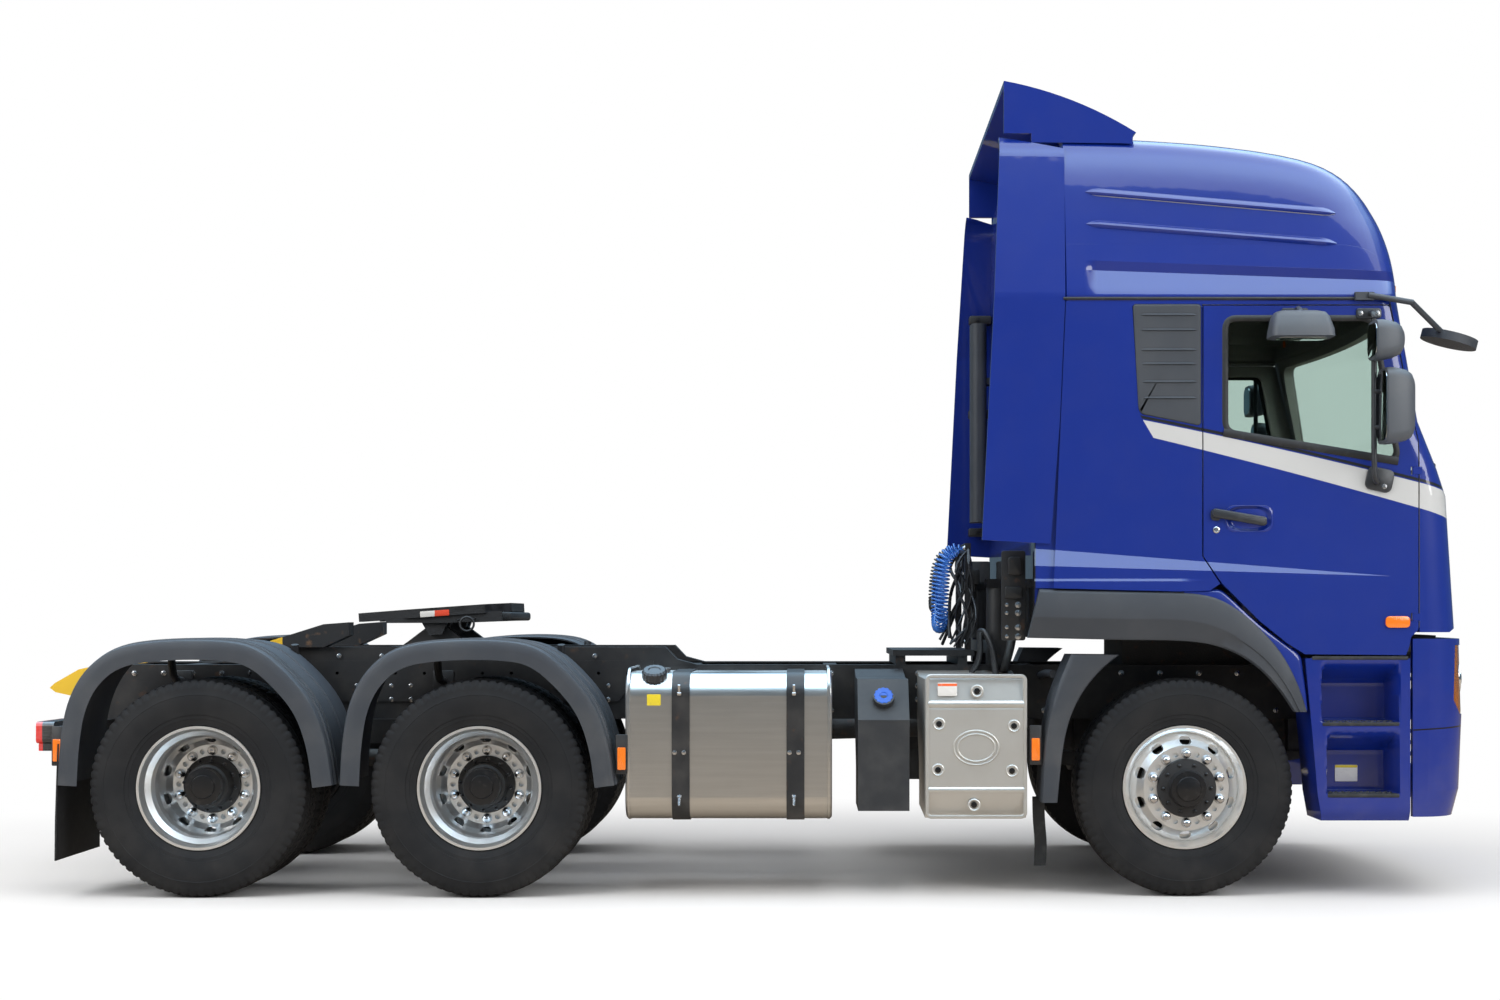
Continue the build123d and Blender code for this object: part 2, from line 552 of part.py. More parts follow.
# ================================================================ drive axles and shafts
with BuildPart() as driveline:
    for axle in (MIDDLE_AXLE, REAR_AXLE):
        add(rod((axle, -640, AXLE_Z), (axle, 640, AXLE_Z), AXLE_TUBE_RADIUS))
        add(lathe([(-330, 0), (-330, 76), (-180, 190), (-90, 225), (90, 225), (180, 190), (330, 76),
                   (330, 0)],
                  axle, AXLE_Z))
        add(rod((axle, 0, AXLE_Z + 40), (axle + 330, 0, AXLE_Z + 70), 120))
        add(rod((axle + 320, 0, AXLE_Z + 70), (axle + 380, 0, AXLE_Z + 74), 70))
        for side in (-1, 1):
            add(rod((axle, side * 560, AXLE_Z), (axle, side * 640, AXLE_Z), 120))
            add(rod((axle, side * 640, AXLE_Z), (axle, side * 965, AXLE_Z), REAR_SPINDLE_RADIUS))
            add(rod((axle, side * 640, AXLE_Z), (axle, side * 668, AXLE_Z),
                    DRUM_RADIUS - DRUM_WALL - MOVE_GAP))
            add(block((axle - 60, axle + 60), (side * SPRING_Y - 50, side * SPRING_Y + 50),
                      (AXLE_Z, 607.7)))
    add(rod((MIDDLE_AXLE - 150, 0, AXLE_Z + 60), (REAR_AXLE + 380, 0, AXLE_Z + 72), 45))
    add(rod((MIDDLE_AXLE + 380, 0, AXLE_Z + 75), (-2010, 0, 745), 60))
    add(rod((-2010, 0, 745), (-1112, 0, 770), 60))
    add(block((-2050, -1950), (-60, 60), (690, CROSS_Z - CROSS_HEIGHT)))
write("driveline", driveline)

# ================================================================ engine, gearbox and radiator
with BuildPart() as engine:
    add(block((-180, 880), (-330, 330), (640, 1290), 40))
    add(block((-180, 700), (-220, 220), (530, 660), 40))
    add(rod((-180, 0, 800), (-420, 0, 800), 270))
    add(block((-1010, -400), (-190, 190), (620, 910), 50))
    add(rod((-1110, 0, 770), (-1000, 0, 770), 75))
    add(block((960, 1060), (-RAIL_OUT + RAIL_FLANGE, RAIL_OUT - RAIL_FLANGE), (560, 1220)))
write("engine", engine)

# ================================================================ fuel tank with its straps
TANK_MID_Y = sum(TANK_Y) / 2
TANK_MID_Z = sum(TANK_Z) / 2
TANK_DEPTH = TANK_Y[1] - TANK_Y[0]
TANK_HEIGHT = TANK_Z[1] - TANK_Z[0]
with BuildPart() as fuel_tank:
    with BuildSketch(cross_plane(TANK_REAR)):
        with Locations((TANK_MID_Y, TANK_MID_Z)):
            RectangleRounded(TANK_DEPTH, TANK_HEIGHT, TANK_RADIUS)
    extrude(amount=TANK_LENGTH)
    fillet(edges().filter_by(GeomType.LINE).filter_by(Axis.X, reverse=True), 14)
    add(rod((TANK_REAR + 146, TANK_Y[0] + 150, TANK_Z[1] - 30),
            (TANK_REAR + 146, TANK_Y[0] + 150, TANK_Z[1] + 22), 62))
write("fuel_tank", fuel_tank)

with BuildPart() as tank_straps:
    for s in STRAP_STATIONS:
        with BuildSketch(cross_plane(s - STRAP_WIDTH / 2)):
            with Locations((TANK_MID_Y, TANK_MID_Z)):
                outer = SEAT_GAP + STRAP_THICKNESS
                RectangleRounded(TANK_DEPTH + 2 * outer, TANK_HEIGHT + 2 * outer, TANK_RADIUS + outer)
                RectangleRounded(TANK_DEPTH + 2 * SEAT_GAP, TANK_HEIGHT + 2 * SEAT_GAP,
                                 TANK_RADIUS + SEAT_GAP,
                                 mode=Mode.SUBTRACT)
        extrude(amount=STRAP_WIDTH)
        add(cross_slab([
            (TANK_Y[1] + 3, TANK_Z[0] + 140), (-RAIL_OUT, RAIL_BOTTOM + 20), (-RAIL_OUT, RAIL_TOP - 20),
            (TANK_Y[1] + 3, RAIL_TOP - 60),
        ], s - STRAP_WIDTH / 2, s + STRAP_WIDTH / 2))
write("tank_straps", tank_straps)

# ================================================================ urea tank, exhaust box, left-side boxes
with BuildPart() as urea_tank:
    add(cross_slab([
        (-RAIL_OUT, RAIL_BOTTOM + 40), (-700, 600), (-700, 414), (-1150, 414), (-1150, 853), (-1010, 1046),
        (-700, 1046), (-RAIL_OUT, RAIL_TOP - 20),
    ], -1578, -1330))
    cap = Vector(FRONT_AXLE_X - 1453, -1080, 950)
    with BuildSketch(Plane(origin=cap, z_dir=(0, -193, 140))):
        Circle(53)
    extrude(amount=34)
write("urea_tank", urea_tank)

with BuildPart() as exhaust_box:
    add(cross_slab([
        (-RAIL_OUT, RAIL_BOTTOM + 20), (-620, 600), (-620, 400), (-1150, 382), (-1190, 500), (-1190, 905),
        (-1165, 1050), (-620, 1050), (-RAIL_OUT, RAIL_TOP - 30),
    ], -1255, -768))
write("exhaust_box", exhaust_box)

with BuildPart() as battery_box:
    add(cross_slab([
        (RAIL_OUT, RAIL_BOTTOM + 20), (620, 600), (620, 430), (1170, 430), (1170, 960), (1130, 1010),
        (620, 1010),
        (RAIL_OUT, RAIL_TOP - 30),
    ], -1500, -768))
write("battery_box", battery_box)

AIR_TANK_RADIUS = 130.0
with BuildPart() as air_tanks:
    for y, z in ((600, 900), (880, 900), (740, 650)):
        add(rod((-2650, y, z), (-1750, y, z), AIR_TANK_RADIUS))
    for s in (-2450.0, -1950.0):
        add(block((s - 20, s + 20), (RAIL_OUT, 1030), (880, 920)))
        add(block((s - 20, s + 20), (720, 760), (650, 900)))
write("air_tanks", air_tanks)


# ================================================================ mudguards and flaps
GUARD_Y = (-1240.0, -610.0)
GUARD_SKIN = 8.0
GUARD_LIP = 95.0


def guard_outline(axle, inset):
    """A squarish arch round a rear wheel, drawn inset from its outer skin."""
    side = 662.0 - inset
    top = 1240.0 - inset
    foot = 545.0
    with BuildLine() as arch:
        FilletPolyline(
            (axle - side, foot), (axle - side + 30, 930), (axle - 330 + inset / 3, top - 20),
            (axle + 250 - inset / 3, top),
            (axle + side - 60, 1010), (axle + side, foot), radius=330 - inset,
        )
        Line((axle + side, foot), (axle - side, foot))
    return arch


with BuildPart() as rear_mudguards:
    for axle in (MIDDLE_AXLE, REAR_AXLE):
        for inset, y_left in ((GUARD_SKIN, GUARD_Y[1]), (GUARD_LIP, GUARD_Y[0] + GUARD_SKIN)):
            with BuildSketch(side_plane(y_left)):
                add(guard_outline(axle, 0))
                make_face()
                add(guard_outline(axle, inset))
                make_face(mode=Mode.SUBTRACT)
            extrude(amount=y_left - GUARD_Y[0])
        for s in (axle - 300, axle + 330):
            add(block((s - 25, s + 25), (GUARD_Y[1] - 20, -RAIL_OUT - (12 if s > SUBFRAME_REAR else 0)),
                      (1040, 1080)))
            add(block((s - 25, s + 25), (GUARD_Y[1] - 20, GUARD_Y[1] + 20), (1040, 1180)))
    add(block((REAR_AXLE - 676, REAR_AXLE - 664), (-1220, -600), (182, 742)))
    mirror(about=Plane.XZ)
write("rear_mudguards", rear_mudguards)

with BuildPart() as tail_lamps:
    add(block((RAIL_REAR - 40, RAIL_REAR + 40), (-1180, -800), (706, 742), 0))
    add(block((RAIL_REAR - 50, RAIL_REAR + 36), (-1190, -820), (742, 846), 20))
    mirror(about=Plane.XZ)
write("tail_lamps", tail_lamps)

with BuildPart() as front_mudguards:
    with BuildSketch(side_plane(-960)):
        with BuildLine():
            Polyline((-660, 461), (-700, 470), (-690, 760), (-650, 960), (-590, 1110), (-560, 1170),
                     (-330, 1170),
                     (-330, 1155), (-450, 1090), (-545, 960), (-600, 800), (-622, 620), (-625, 461),
                     close=True)
        make_face()
    extrude(amount=275)
    add(block((-640, -600), (-970, -RAIL_OUT), (1050, 1090)))
    mirror(about=Plane.XZ)
write("front_mudguards", front_mudguards)


# ================================================================ bumper, lamps and steps
# z, corner station, corner set in from the side, station where the flat side ends
BUMPER_SECTIONS = [
    (395.0, 1310.0, 195.0, 1100.0),
    (520.0, 1338.0, 165.0, 1140.0),
    (900.0, 1352.0, 155.0, 1150.0),
    (1246.0, 1340.0, 155.0, 1150.0),
]
BUMPER_REAR = 1071.0
BUMPER_WALL = 38.0


def plan_loft(sections, rear, inset):
    """A closed body through plan outlines with a bowed nose and rounded front corners."""
    with BuildPart() as body:
        for z, corner_station, corner_in, side_end in sections:
            half = CAB_HALF_WIDTH - inset
            corner = corner_station - inset
            corner_side = CAB_HALF_WIDTH - corner_in - 0.8 * inset
            with BuildSketch(plan_plane(z)):
                with BuildLine():
                    right_side = Line((rear + inset, -half), (side_end, -half))
                    right_corner = TangentArc(right_side @ 1, (corner, -corner_side), tangent=(1, 0))
                    nose = ThreePointArc(right_corner @ 1, (corner + NOSE_BULGE, 0), (corner, corner_side))
                    left_corner = TangentArc((side_end, half), nose @ 1, tangent=(1, 0))
                    Line(left_corner @ 0, (rear + inset, half))
                    Line((rear + inset, half), right_side @ 0)
                make_face()
        loft(ruled=True)
    return body.part


def opened(sections, below, above):
    """The same sections with the end ones moved out, so that a cut made with them passes through."""
    lowest, highest = sections[0][0], sections[-1][0]
    return [(z - below * (z == lowest) + above * (z == highest), *plan) for z, *plan in sections]


HEADLAMP_Y = (-1300.0, -760.0)
HEADLAMP_Z = (880.0, 1215.0)
GRILLE_Y = 640.0
bumper_outer = plan_loft(BUMPER_SECTIONS, 700.0, 0.0)
bumper_inner = plan_loft(opened(BUMPER_SECTIONS, 20, 20), 640.0, BUMPER_WALL)


def lamp_outline(gap):
    """The headlamp seen from the side, its rear edge slanted, drawn inside its window by a gap."""
    low, high = HEADLAMP_Z[0] + gap, HEADLAMP_Z[1] - gap
    return [(1280 + gap, low + 70), (1325 + gap, low), (1500, low), (1500, high), (1290 + gap, high)]


lamp_window = side_slab(lamp_outline(0), *HEADLAMP_Y)
with BuildPart() as bumper:
    add(bumper_outer)
    add(bumper_inner, mode=Mode.SUBTRACT)
    add(block((600, BUMPER_REAR), (-1300, 1300), (380, 1260)), mode=Mode.SUBTRACT)
    add(lamp_window, mode=Mode.SUBTRACT)
    add(mirrored(lamp_window), mode=Mode.SUBTRACT)
    add(block((1300, 1500), (-GRILLE_Y, GRILLE_Y), (960, 1180), 30), mode=Mode.SUBTRACT)
    add(block((1300, 1500), (-GRILLE_Y, GRILLE_Y), (560, 800), 30), mode=Mode.SUBTRACT)
    for z in (1020, 1080, 1130):
        add(block((1395, 1420), (-GRILLE_Y - 20, GRILLE_Y + 20), (z - 9, z + 9)))
    for z in (620, 680, 740):
        add(block((1395, 1420), (-GRILLE_Y - 20, GRILLE_Y + 20), (z - 9, z + 9)))
    for side in (-1, 1):
        add(block((RAIL_FRONT, 1400), (side * 390 - 30, side * 390 + 30), (820, 900)))
write("bumper", bumper)

lamp_skin = plan_loft(BUMPER_SECTIONS, 700.0, 4.0)
lamp_core = plan_loft(opened(BUMPER_SECTIONS, 20, 20), 640.0, 60.0)
with BuildPart() as headlamps:
    add(lamp_skin)
    add(lamp_core, mode=Mode.SUBTRACT)
    add(side_slab(lamp_outline(SEAT_GAP), HEADLAMP_Y[0], HEADLAMP_Y[1] - SEAT_GAP), mode=Mode.INTERSECT)
    mirror(about=Plane.XZ)
write("headlamps", headlamps)

STEP_Y = (-CAB_HALF_WIDTH + 5.0, -CAB_HALF_WIDTH + 315.0)
STEP_TOP = 1152.0
with BuildPart() as entry_steps:
    add(side_slab([(558, STEP_TOP), (1060, STEP_TOP), (1060, 372), (640, 372), (617, 500), (600, 700)],
                  *STEP_Y))
    add(side_slab([(622, 1100), (1010, 1100), (1010, 900), (640, 900)], STEP_Y[0] - 10, STEP_Y[1] - 100,
                  18),
        mode=Mode.SUBTRACT)
    add(side_slab([(652, 800), (1010, 800), (1010, 470), (662, 470)], STEP_Y[0] - 10, STEP_Y[1] - 100,
                  18), mode=Mode.SUBTRACT)
    add(block((820, 900), (STEP_Y[1] - 10, -RAIL_OUT), (900, 980)))
    mirror(about=Plane.XZ)
write("entry_steps", entry_steps)

# ================================================================ catwalk, hose stand and air lines
CATWALK_Z = 1150.0
STAND_STATION = -985.0
with BuildPart() as catwalk:
    add(block((-1380, -960), (-450, 450), (CATWALK_Z, CATWALK_Z + 30)))
    for s in (-1340.0, -1020.0):
        add(block((s - 25, s + 25), (-RAIL_OUT, RAIL_OUT), (RAIL_TOP, CATWALK_Z)))
    for y in (-320.0, 320.0):
        add(block((STAND_STATION - 15, STAND_STATION + 15), (y - 25, y + 25), (CATWALK_Z + 20, 1735)))
    add(block((STAND_STATION - 15, STAND_STATION + 15), (-345, 345), (1690, 1735)))
write("catwalk", catwalk)


def hanging_coil(y_a, y_b, top, low, diameter):
    """A curly line's outer tube hanging in a bight between two couplings on the stand."""
    reach = STAND_STATION - 15
    route = [
        (reach, y_a, top), (reach - 75, y_a, top), (reach - 115, y_a + 4, top - 130),
        (reach - 120, y_a, low), (reach - 120, y_b, low), (reach - 115, y_b - 4, top - 130),
        (reach - 75, y_b, top), (reach, y_b, top),
    ]
    points = [Vector(FRONT_AXLE_X + s, y, z) for s, y, z in route]
    radii = []
    for before, corner, after in zip(points, points[1:], points[2:]):
        run = min((corner - before).length, (after - corner).length)
        turn = radians((corner - before).get_angle(after - corner))
        radii.append(0.45 * run / tan(turn / 2))
    print("coil radii", [round(r) for r in radii])
    with BuildPart() as tube:
        with BuildLine() as path:
            FilletPolyline(*points, radius=radii)
        with BuildSketch(Plane(origin=path.line @ 0, z_dir=path.line % 0)):
            Circle(diameter / 2)
        sweep()
    length = path.wires()[0].length
    print("coil length", round(length), "volume ratio", round(tube.part.volume / (length * pi * diameter ** 2 / 4), 4))
    return tube.part


with BuildPart() as air_line:
    add(hanging_coil(-290, 40, 1712, 1300, 46))
with BuildPart() as electric_line:
    add(hanging_coil(110, 390, 1712, 1400, 38))
write("air_line", air_line)
write("electric_line", electric_line)

# ================================================================ cab mounts on the frame
STRUT_Y = 480.0
LUG_Z = (1500.0, 1545.0)
with BuildPart() as cab_mounts:
    add(side_slab([
        (1000, RAIL_TOP), (1150, RAIL_TOP), (1150, 1000), (1200, 1000), (1376, 1118), (1376, 1172),
        (1310, 1172),
        (1180, 1140), (1000, 1140),
    ], -TILT_ARM_Y + 26, -TILT_ARM_Y + 46))
    add(side_slab([
        (1000, RAIL_TOP), (1150, RAIL_TOP), (1150, 1000), (1200, 1000), (1376, 1118), (1376, 1172),
        (1310, 1172),
        (1180, 1140), (1000, 1140),
    ], -TILT_ARM_Y - 46, -TILT_ARM_Y - 26))
    add(rod((TILT_PIVOT[0], -TILT_ARM_Y - 46, TILT_PIVOT[1]), (TILT_PIVOT[0], -TILT_ARM_Y + 46,
            TILT_PIVOT[1]),
            TILT_PIN_RADIUS))
    add(block((-900, -790), (-RAIL_OUT - 110, -RAIL_OUT + 10), (RAIL_TOP, RAIL_TOP + 130)))
    add(rod((-845, -STRUT_Y, RAIL_TOP + 130), (-845, -STRUT_Y, LUG_Z[0] - SEAT_GAP), 58))
    mirror(about=Plane.XZ)
    add(block((-900, -830), (-RAIL_OUT - 20, RAIL_OUT + 20), (RAIL_TOP + 60, RAIL_TOP + 120)))
write("cab_mounts", cab_mounts)


# ================================================================ cab shell
def cross_profile(inset):
    """Cab cross-sections under a falling roof line: upright sides, leaning roof sides, rounded shoulders."""
    half = CAB_HALF_WIDTH - inset
    with BuildPart() as body:
        for station, crown in ROOF_LINE:
            shoulder_z = crown - SHOULDER_DROP - inset
            shoulder_y = half - (shoulder_z - LEAN_Z) * LEAN_SLOPE
            with BuildSketch(cross_plane(station)):
                with BuildLine():
                    FilletPolyline(
                        (-half, 1100), (-half, LEAN_Z), (-shoulder_y, shoulder_z), (0, crown - inset),
                        (shoulder_y, shoulder_z), (half, LEAN_Z), (half, 1100), radius=SHOULDER_RADIUS,
                        close=True,
                    )
                make_face()
        loft(ruled=True)
    return body.part


lower_outer = plan_loft(CAB_SECTIONS, CAB_REAR, 0.0)
lower_inner = plan_loft(opened(CAB_SECTIONS, 40, 40), CAB_REAR, WALL)
with BuildPart() as lower_shell:
    add(lower_outer)
    add(lower_inner, mode=Mode.SUBTRACT)
with BuildPart() as roof_outer:
    add(plan_loft(ROOF_SECTIONS, CAB_REAR, 0.0))
    add(cross_profile(0), mode=Mode.INTERSECT)
with BuildPart() as spoiler_seat:
    add(plan_loft(ROOF_SECTIONS, CAB_REAR, -SEAT_GAP))
    add(cross_profile(-SEAT_GAP), mode=Mode.INTERSECT)
with BuildPart() as roof_inner:
    add(plan_loft(opened(ROOF_SECTIONS, 40, 0), CAB_REAR, WALL))
    add(cross_profile(WALL), mode=Mode.INTERSECT)
# The side fairings lap over a shallow seat round the cab's rear corners.
FAIRING_SKIN = 20.0
FAIRING = [(-888, 3690), (-579, 3620), (-590, 2880), (-616, 2290), (-660, 1700), (-988, 1718)]
FAIRING_SEAT = [(-888, 3694), (-575, 3624), (-586, 2880), (-612, 2290), (-650, 1400), (-988, 1400)]
with BuildPart() as fairing_seat:
    add(cross_profile(-6))
    add(cross_profile(FAIRING_SKIN + SEAT_GAP), mode=Mode.SUBTRACT)
    add(side_slab(FAIRING_SEAT, -OUTSIDE, -CAB_HALF_WIDTH + 245), mode=Mode.INTERSECT)
with BuildPart() as cab_roof:
    add(roof_outer.part)
    add(roof_inner.part, mode=Mode.SUBTRACT)
    add(fairing_seat.part, mode=Mode.SUBTRACT)
    add(mirrored(fairing_seat.part), mode=Mode.SUBTRACT)
write("cab_roof", cab_roof)

# Windshield opening in the nose, and the glass that fills it.
SCREEN_FOOT_Y = CAB_HALF_WIDTH - 133.0
SCREEN_HEAD_Y = CAB_HALF_WIDTH - 170.0
SCREEN = [(-SCREEN_FOOT_Y, 2085), (SCREEN_FOOT_Y, 2085), (SCREEN_HEAD_Y, 2815), (-SCREEN_HEAD_Y, 2815)]
screen_hole = cross_slab(SCREEN, 880, 1500, 60)
FRONT_EDGE = [(1103, 1277), (1103, 2196), (966, GUTTER_Z)]
with BuildPart() as nose_region:
    with BuildSketch(side_plane(1300)):
        with BuildLine():
            Polyline((1260, 1277), *FRONT_EDGE, (1500, GUTTER_Z), (1500, 1284), (1430, 1284))
            ThreePointArc((1430, 1284), (1345, 1303), (1260, 1277))
        make_face()
    extrude(amount=2600)
with BuildPart() as hinge_lugs:
    for z in HINGE_HEIGHTS:
        add(block((DOOR_HINGE[0], FRONT_EDGE[0][0] + 12), (-DOOR_HINGE[1] - HINGE_RADIUS,
                                                           -DOOR_HINGE[1] + HINGE_RADIUS),
                  (z - HINGE_HEIGHT / 2, z + HINGE_HEIGHT / 2)))
        add(rod((DOOR_HINGE[0], -DOOR_HINGE[1], z - HINGE_HEIGHT / 2),
                (DOOR_HINGE[0], -DOOR_HINGE[1], z + HINGE_HEIGHT / 2), HINGE_RADIUS))
        add(rod((DOOR_HINGE[0], -DOOR_HINGE[1], z - HINGE_HEIGHT),
                (DOOR_HINGE[0], -DOOR_HINGE[1], z + HINGE_HEIGHT), HINGE_PIN_RADIUS + RUN_FIT),
                mode=Mode.SUBTRACT)
with BuildPart() as cab_front:
    add(lower_shell.part)
    add(nose_region.part, mode=Mode.INTERSECT)
    add(screen_hole, mode=Mode.SUBTRACT)
    add(hinge_lugs.part)
    add(mirrored(hinge_lugs.part))
write("cab_front", cab_front)

with BuildPart() as windshield:
    add(plan_loft(CAB_SECTIONS, CAB_REAR, 6.0))
    add(plan_loft(opened(CAB_SECTIONS, 40, 40), CAB_REAR - 40, 6.0 + GLASS_THICKNESS), mode=Mode.SUBTRACT)
    add(cross_slab([(y - SEAT_GAP * (1 if y > 0 else -1), z + SEAT_GAP * (1 if z < 2400 else -1)) for y,
                    z in SCREEN],
                   900, 1500, 60), mode=Mode.INTERSECT)
write("windshield", windshield)

# Side walls behind the doors, with the rail over each door.
SIDE_REGION = [
    (CAB_REAR, 1489), (CAB_REAR, GUTTER_Z), (FRONT_EDGE[2][0] - DOOR_GAP / 2, GUTTER_Z),
    (DOOR_OUTLINE[-1][0], DOOR_OUTLINE[-1][1] + DOOR_GAP), (DOOR_OUTLINE[0][0] - DOOR_GAP,
            DOOR_OUTLINE[0][1] + DOOR_GAP),
    (DOOR_OUTLINE[1][0] - DOOR_GAP, 1640), (150, 1509), (100, 1476), (-42, 1472),
]
LOUVRE = [(-271, 2846), (60, 2846), (60, 2262), (-225, 2318), (-240, 2340)]
LOUVRE_DEPTH = 14.0
with BuildPart() as cab_sides:
    add(lower_shell.part)
    add(side_slab(SIDE_REGION, -OUTSIDE, -CAB_HALF_WIDTH + WALL), mode=Mode.INTERSECT)
    add(side_slab(LOUVRE, -OUTSIDE, -CAB_HALF_WIDTH + LOUVRE_DEPTH, 18), mode=Mode.SUBTRACT)
    add(fairing_seat.part, mode=Mode.SUBTRACT)
    mirror(about=Plane.XZ)
write("cab_sides", cab_sides)

with BuildPart() as cab_rear_wall:
    add(block((CAB_REAR, CAB_REAR + WALL), (-CAB_HALF_WIDTH + WALL, CAB_HALF_WIDTH - WALL),
              (1250, GUTTER_Z)))
    for side in (-1, 1):
        add(block((-905, CAB_REAR), (side * STRUT_Y - 60, side * STRUT_Y + 60), LUG_Z))
write("cab_rear_wall", cab_rear_wall)

with BuildPart() as cab_floor:
    add(block((CAB_REAR + WALL, 1230), (-CAB_HALF_WIDTH + WALL, CAB_HALF_WIDTH - WALL), FLOOR_Z))
    add(plan_loft(CAB_SECTIONS[:2], CAB_REAR - 60, WALL + FLOOR_EDGE_GAP), mode=Mode.INTERSECT)
    for side in (-1, 1):
        arm = side_slab([
            (TILT_PIVOT[0] - 26, TILT_PIVOT[1] - 14), (TILT_PIVOT[0] + 14, TILT_PIVOT[1] - 24),
            (TILT_PIVOT[0] + 27, TILT_PIVOT[1] + 6), (TILT_PIVOT[0] + 8, TILT_PIVOT[1] + 27),
            (1228, FLOOR_Z[0]), (1120, FLOOR_Z[0]),
        ], side * TILT_ARM_Y - 20, side * TILT_ARM_Y + 20)
        add(arm)
    with BuildSketch(side_plane(TILT_ARM_Y + 40)):
        with Locations(TILT_PIVOT):
            Circle(TILT_PIN_RADIUS + RUN_FIT)
    extrude(amount=2 * TILT_ARM_Y + 80, mode=Mode.SUBTRACT)
write("cab_floor", cab_floor)

# ================================================================ doors
for side_name, side in (("right", -1), ("left", 1)):
    door_slab = side_slab(DOOR_OUTLINE, -OUTSIDE, -INSIDE)
    window_slab = side_slab(WINDOW_OUTLINE, -OUTSIDE, -INSIDE, WINDOW_RADIUS)
    glass_slab = side_slab(
        [(WINDOW_OUTLINE[0][0] + SEAT_GAP, WINDOW_OUTLINE[0][1] - SEAT_GAP),
         (WINDOW_OUTLINE[1][0] + SEAT_GAP, WINDOW_OUTLINE[1][1] + SEAT_GAP),
         (WINDOW_OUTLINE[2][0] - SEAT_GAP, WINDOW_OUTLINE[2][1] + SEAT_GAP),
         (WINDOW_OUTLINE[3][0] - SEAT_GAP, WINDOW_OUTLINE[3][1] - SEAT_GAP)],
        -CAB_HALF_WIDTH + 17, -CAB_HALF_WIDTH + 17 + GLASS_THICKNESS, WINDOW_RADIUS)
    with BuildPart() as right_door:
        add(lower_shell.part)
        add(door_slab, mode=Mode.INTERSECT)
        add(window_slab, mode=Mode.SUBTRACT)
        for z in HINGE_HEIGHTS:
            add(block((DOOR_HINGE[0] - 14, 1200), (-OUTSIDE, -INSIDE),
                      (z - HINGE_HEIGHT / 2 - 1, z + HINGE_HEIGHT / 2 + 1)),
                mode=Mode.SUBTRACT)
            add(rod((DOOR_HINGE[0], -DOOR_HINGE[1], z - 30), (DOOR_HINGE[0], -DOOR_HINGE[1], z + 30),
                    HINGE_PIN_RADIUS))
    mirror_arm_y = -CAB_HALF_WIDTH - 47
    with BuildPart() as right_mirrors:
        add(block((812, 890), (mirror_arm_y - 8, -CAB_HALF_WIDTH), (2788, 2812)))
        add(block((850, 950), (mirror_arm_y - 14, -CAB_HALF_WIDTH), (1940, 2040)))
        add(rod((870, mirror_arm_y, 1990), (870, mirror_arm_y, 2806), 14))
        add(block((880, 1030), (-CAB_HALF_WIDTH - 255, -OUTSIDE), (2165, 2520), 45))
        add(block((835, 985), (-CAB_HALF_WIDTH - 245, -OUTSIDE), (2560, 2745), 45))
        add(rod((870, mirror_arm_y, 2300), (900, -OUTSIDE - 30, 2300), 12))
        add(rod((870, mirror_arm_y, 2640), (880, -OUTSIDE - 30, 2640), 12))
    with BuildPart() as door:
        add(right_door.part if side < 0 else mirrored(right_door.part))
    with BuildPart() as door_window:
        add(glass_slab if side < 0 else mirrored(glass_slab))
    with BuildPart() as door_mirrors:
        add(right_mirrors.part if side < 0 else mirrored(right_mirrors.part))
        if side < 0:
            add(block((445, 560), (-CAB_HALF_WIDTH - 115, -CAB_HALF_WIDTH), (2790, 2812)))
            add(block((350, 650), (-CAB_HALF_WIDTH - 235, -OUTSIDE), (2660, 2790), 40))
    write(f"door_{side_name}", door)
    write(f"window_{side_name}", door_window)
    write(f"mirrors_{side_name}", door_mirrors)

# ================================================================ fairings, spoiler and trims
with BuildPart() as side_fairings:
    add(cross_profile(0))
    add(cross_profile(FAIRING_SKIN), mode=Mode.SUBTRACT)
    add(side_slab(FAIRING, -OUTSIDE, -CAB_HALF_WIDTH + 245), mode=Mode.INTERSECT)
    mirror(about=Plane.XZ)
write("side_fairings", side_fairings)

SPOILER_SIDE_Y = CAB_HALF_WIDTH - 175.0
with BuildPart() as roof_spoiler:
    with BuildSketch(side_plane(SPOILER_SIDE_Y + 10)):
        with BuildLine():
            crest = ThreePointArc((-868, 3955), (-540, 3862), (-225, 3704))
            Line(crest @ 1, (-262, 3680))
            under = ThreePointArc((-262, 3680), (-545, 3838), (-868, 3925))
            Line(under @ 1, crest @ 0)
        make_face()
    extrude(amount=2 * SPOILER_SIDE_Y + 20)
    for side in (-1, 1):
        add(side_slab([(-868, 3700), (-868, 3948), (-700, 3906), (-540, 3856), (-380, 3784), (-240, 3704),
                       (-250, 3560),
                       (CAB_REAR, 3560), (CAB_REAR, 3700)], side * SPOILER_SIDE_Y - 12,
                       side * SPOILER_SIDE_Y + 12))
    add(spoiler_seat.part, mode=Mode.SUBTRACT)
write("roof_spoiler", roof_spoiler)

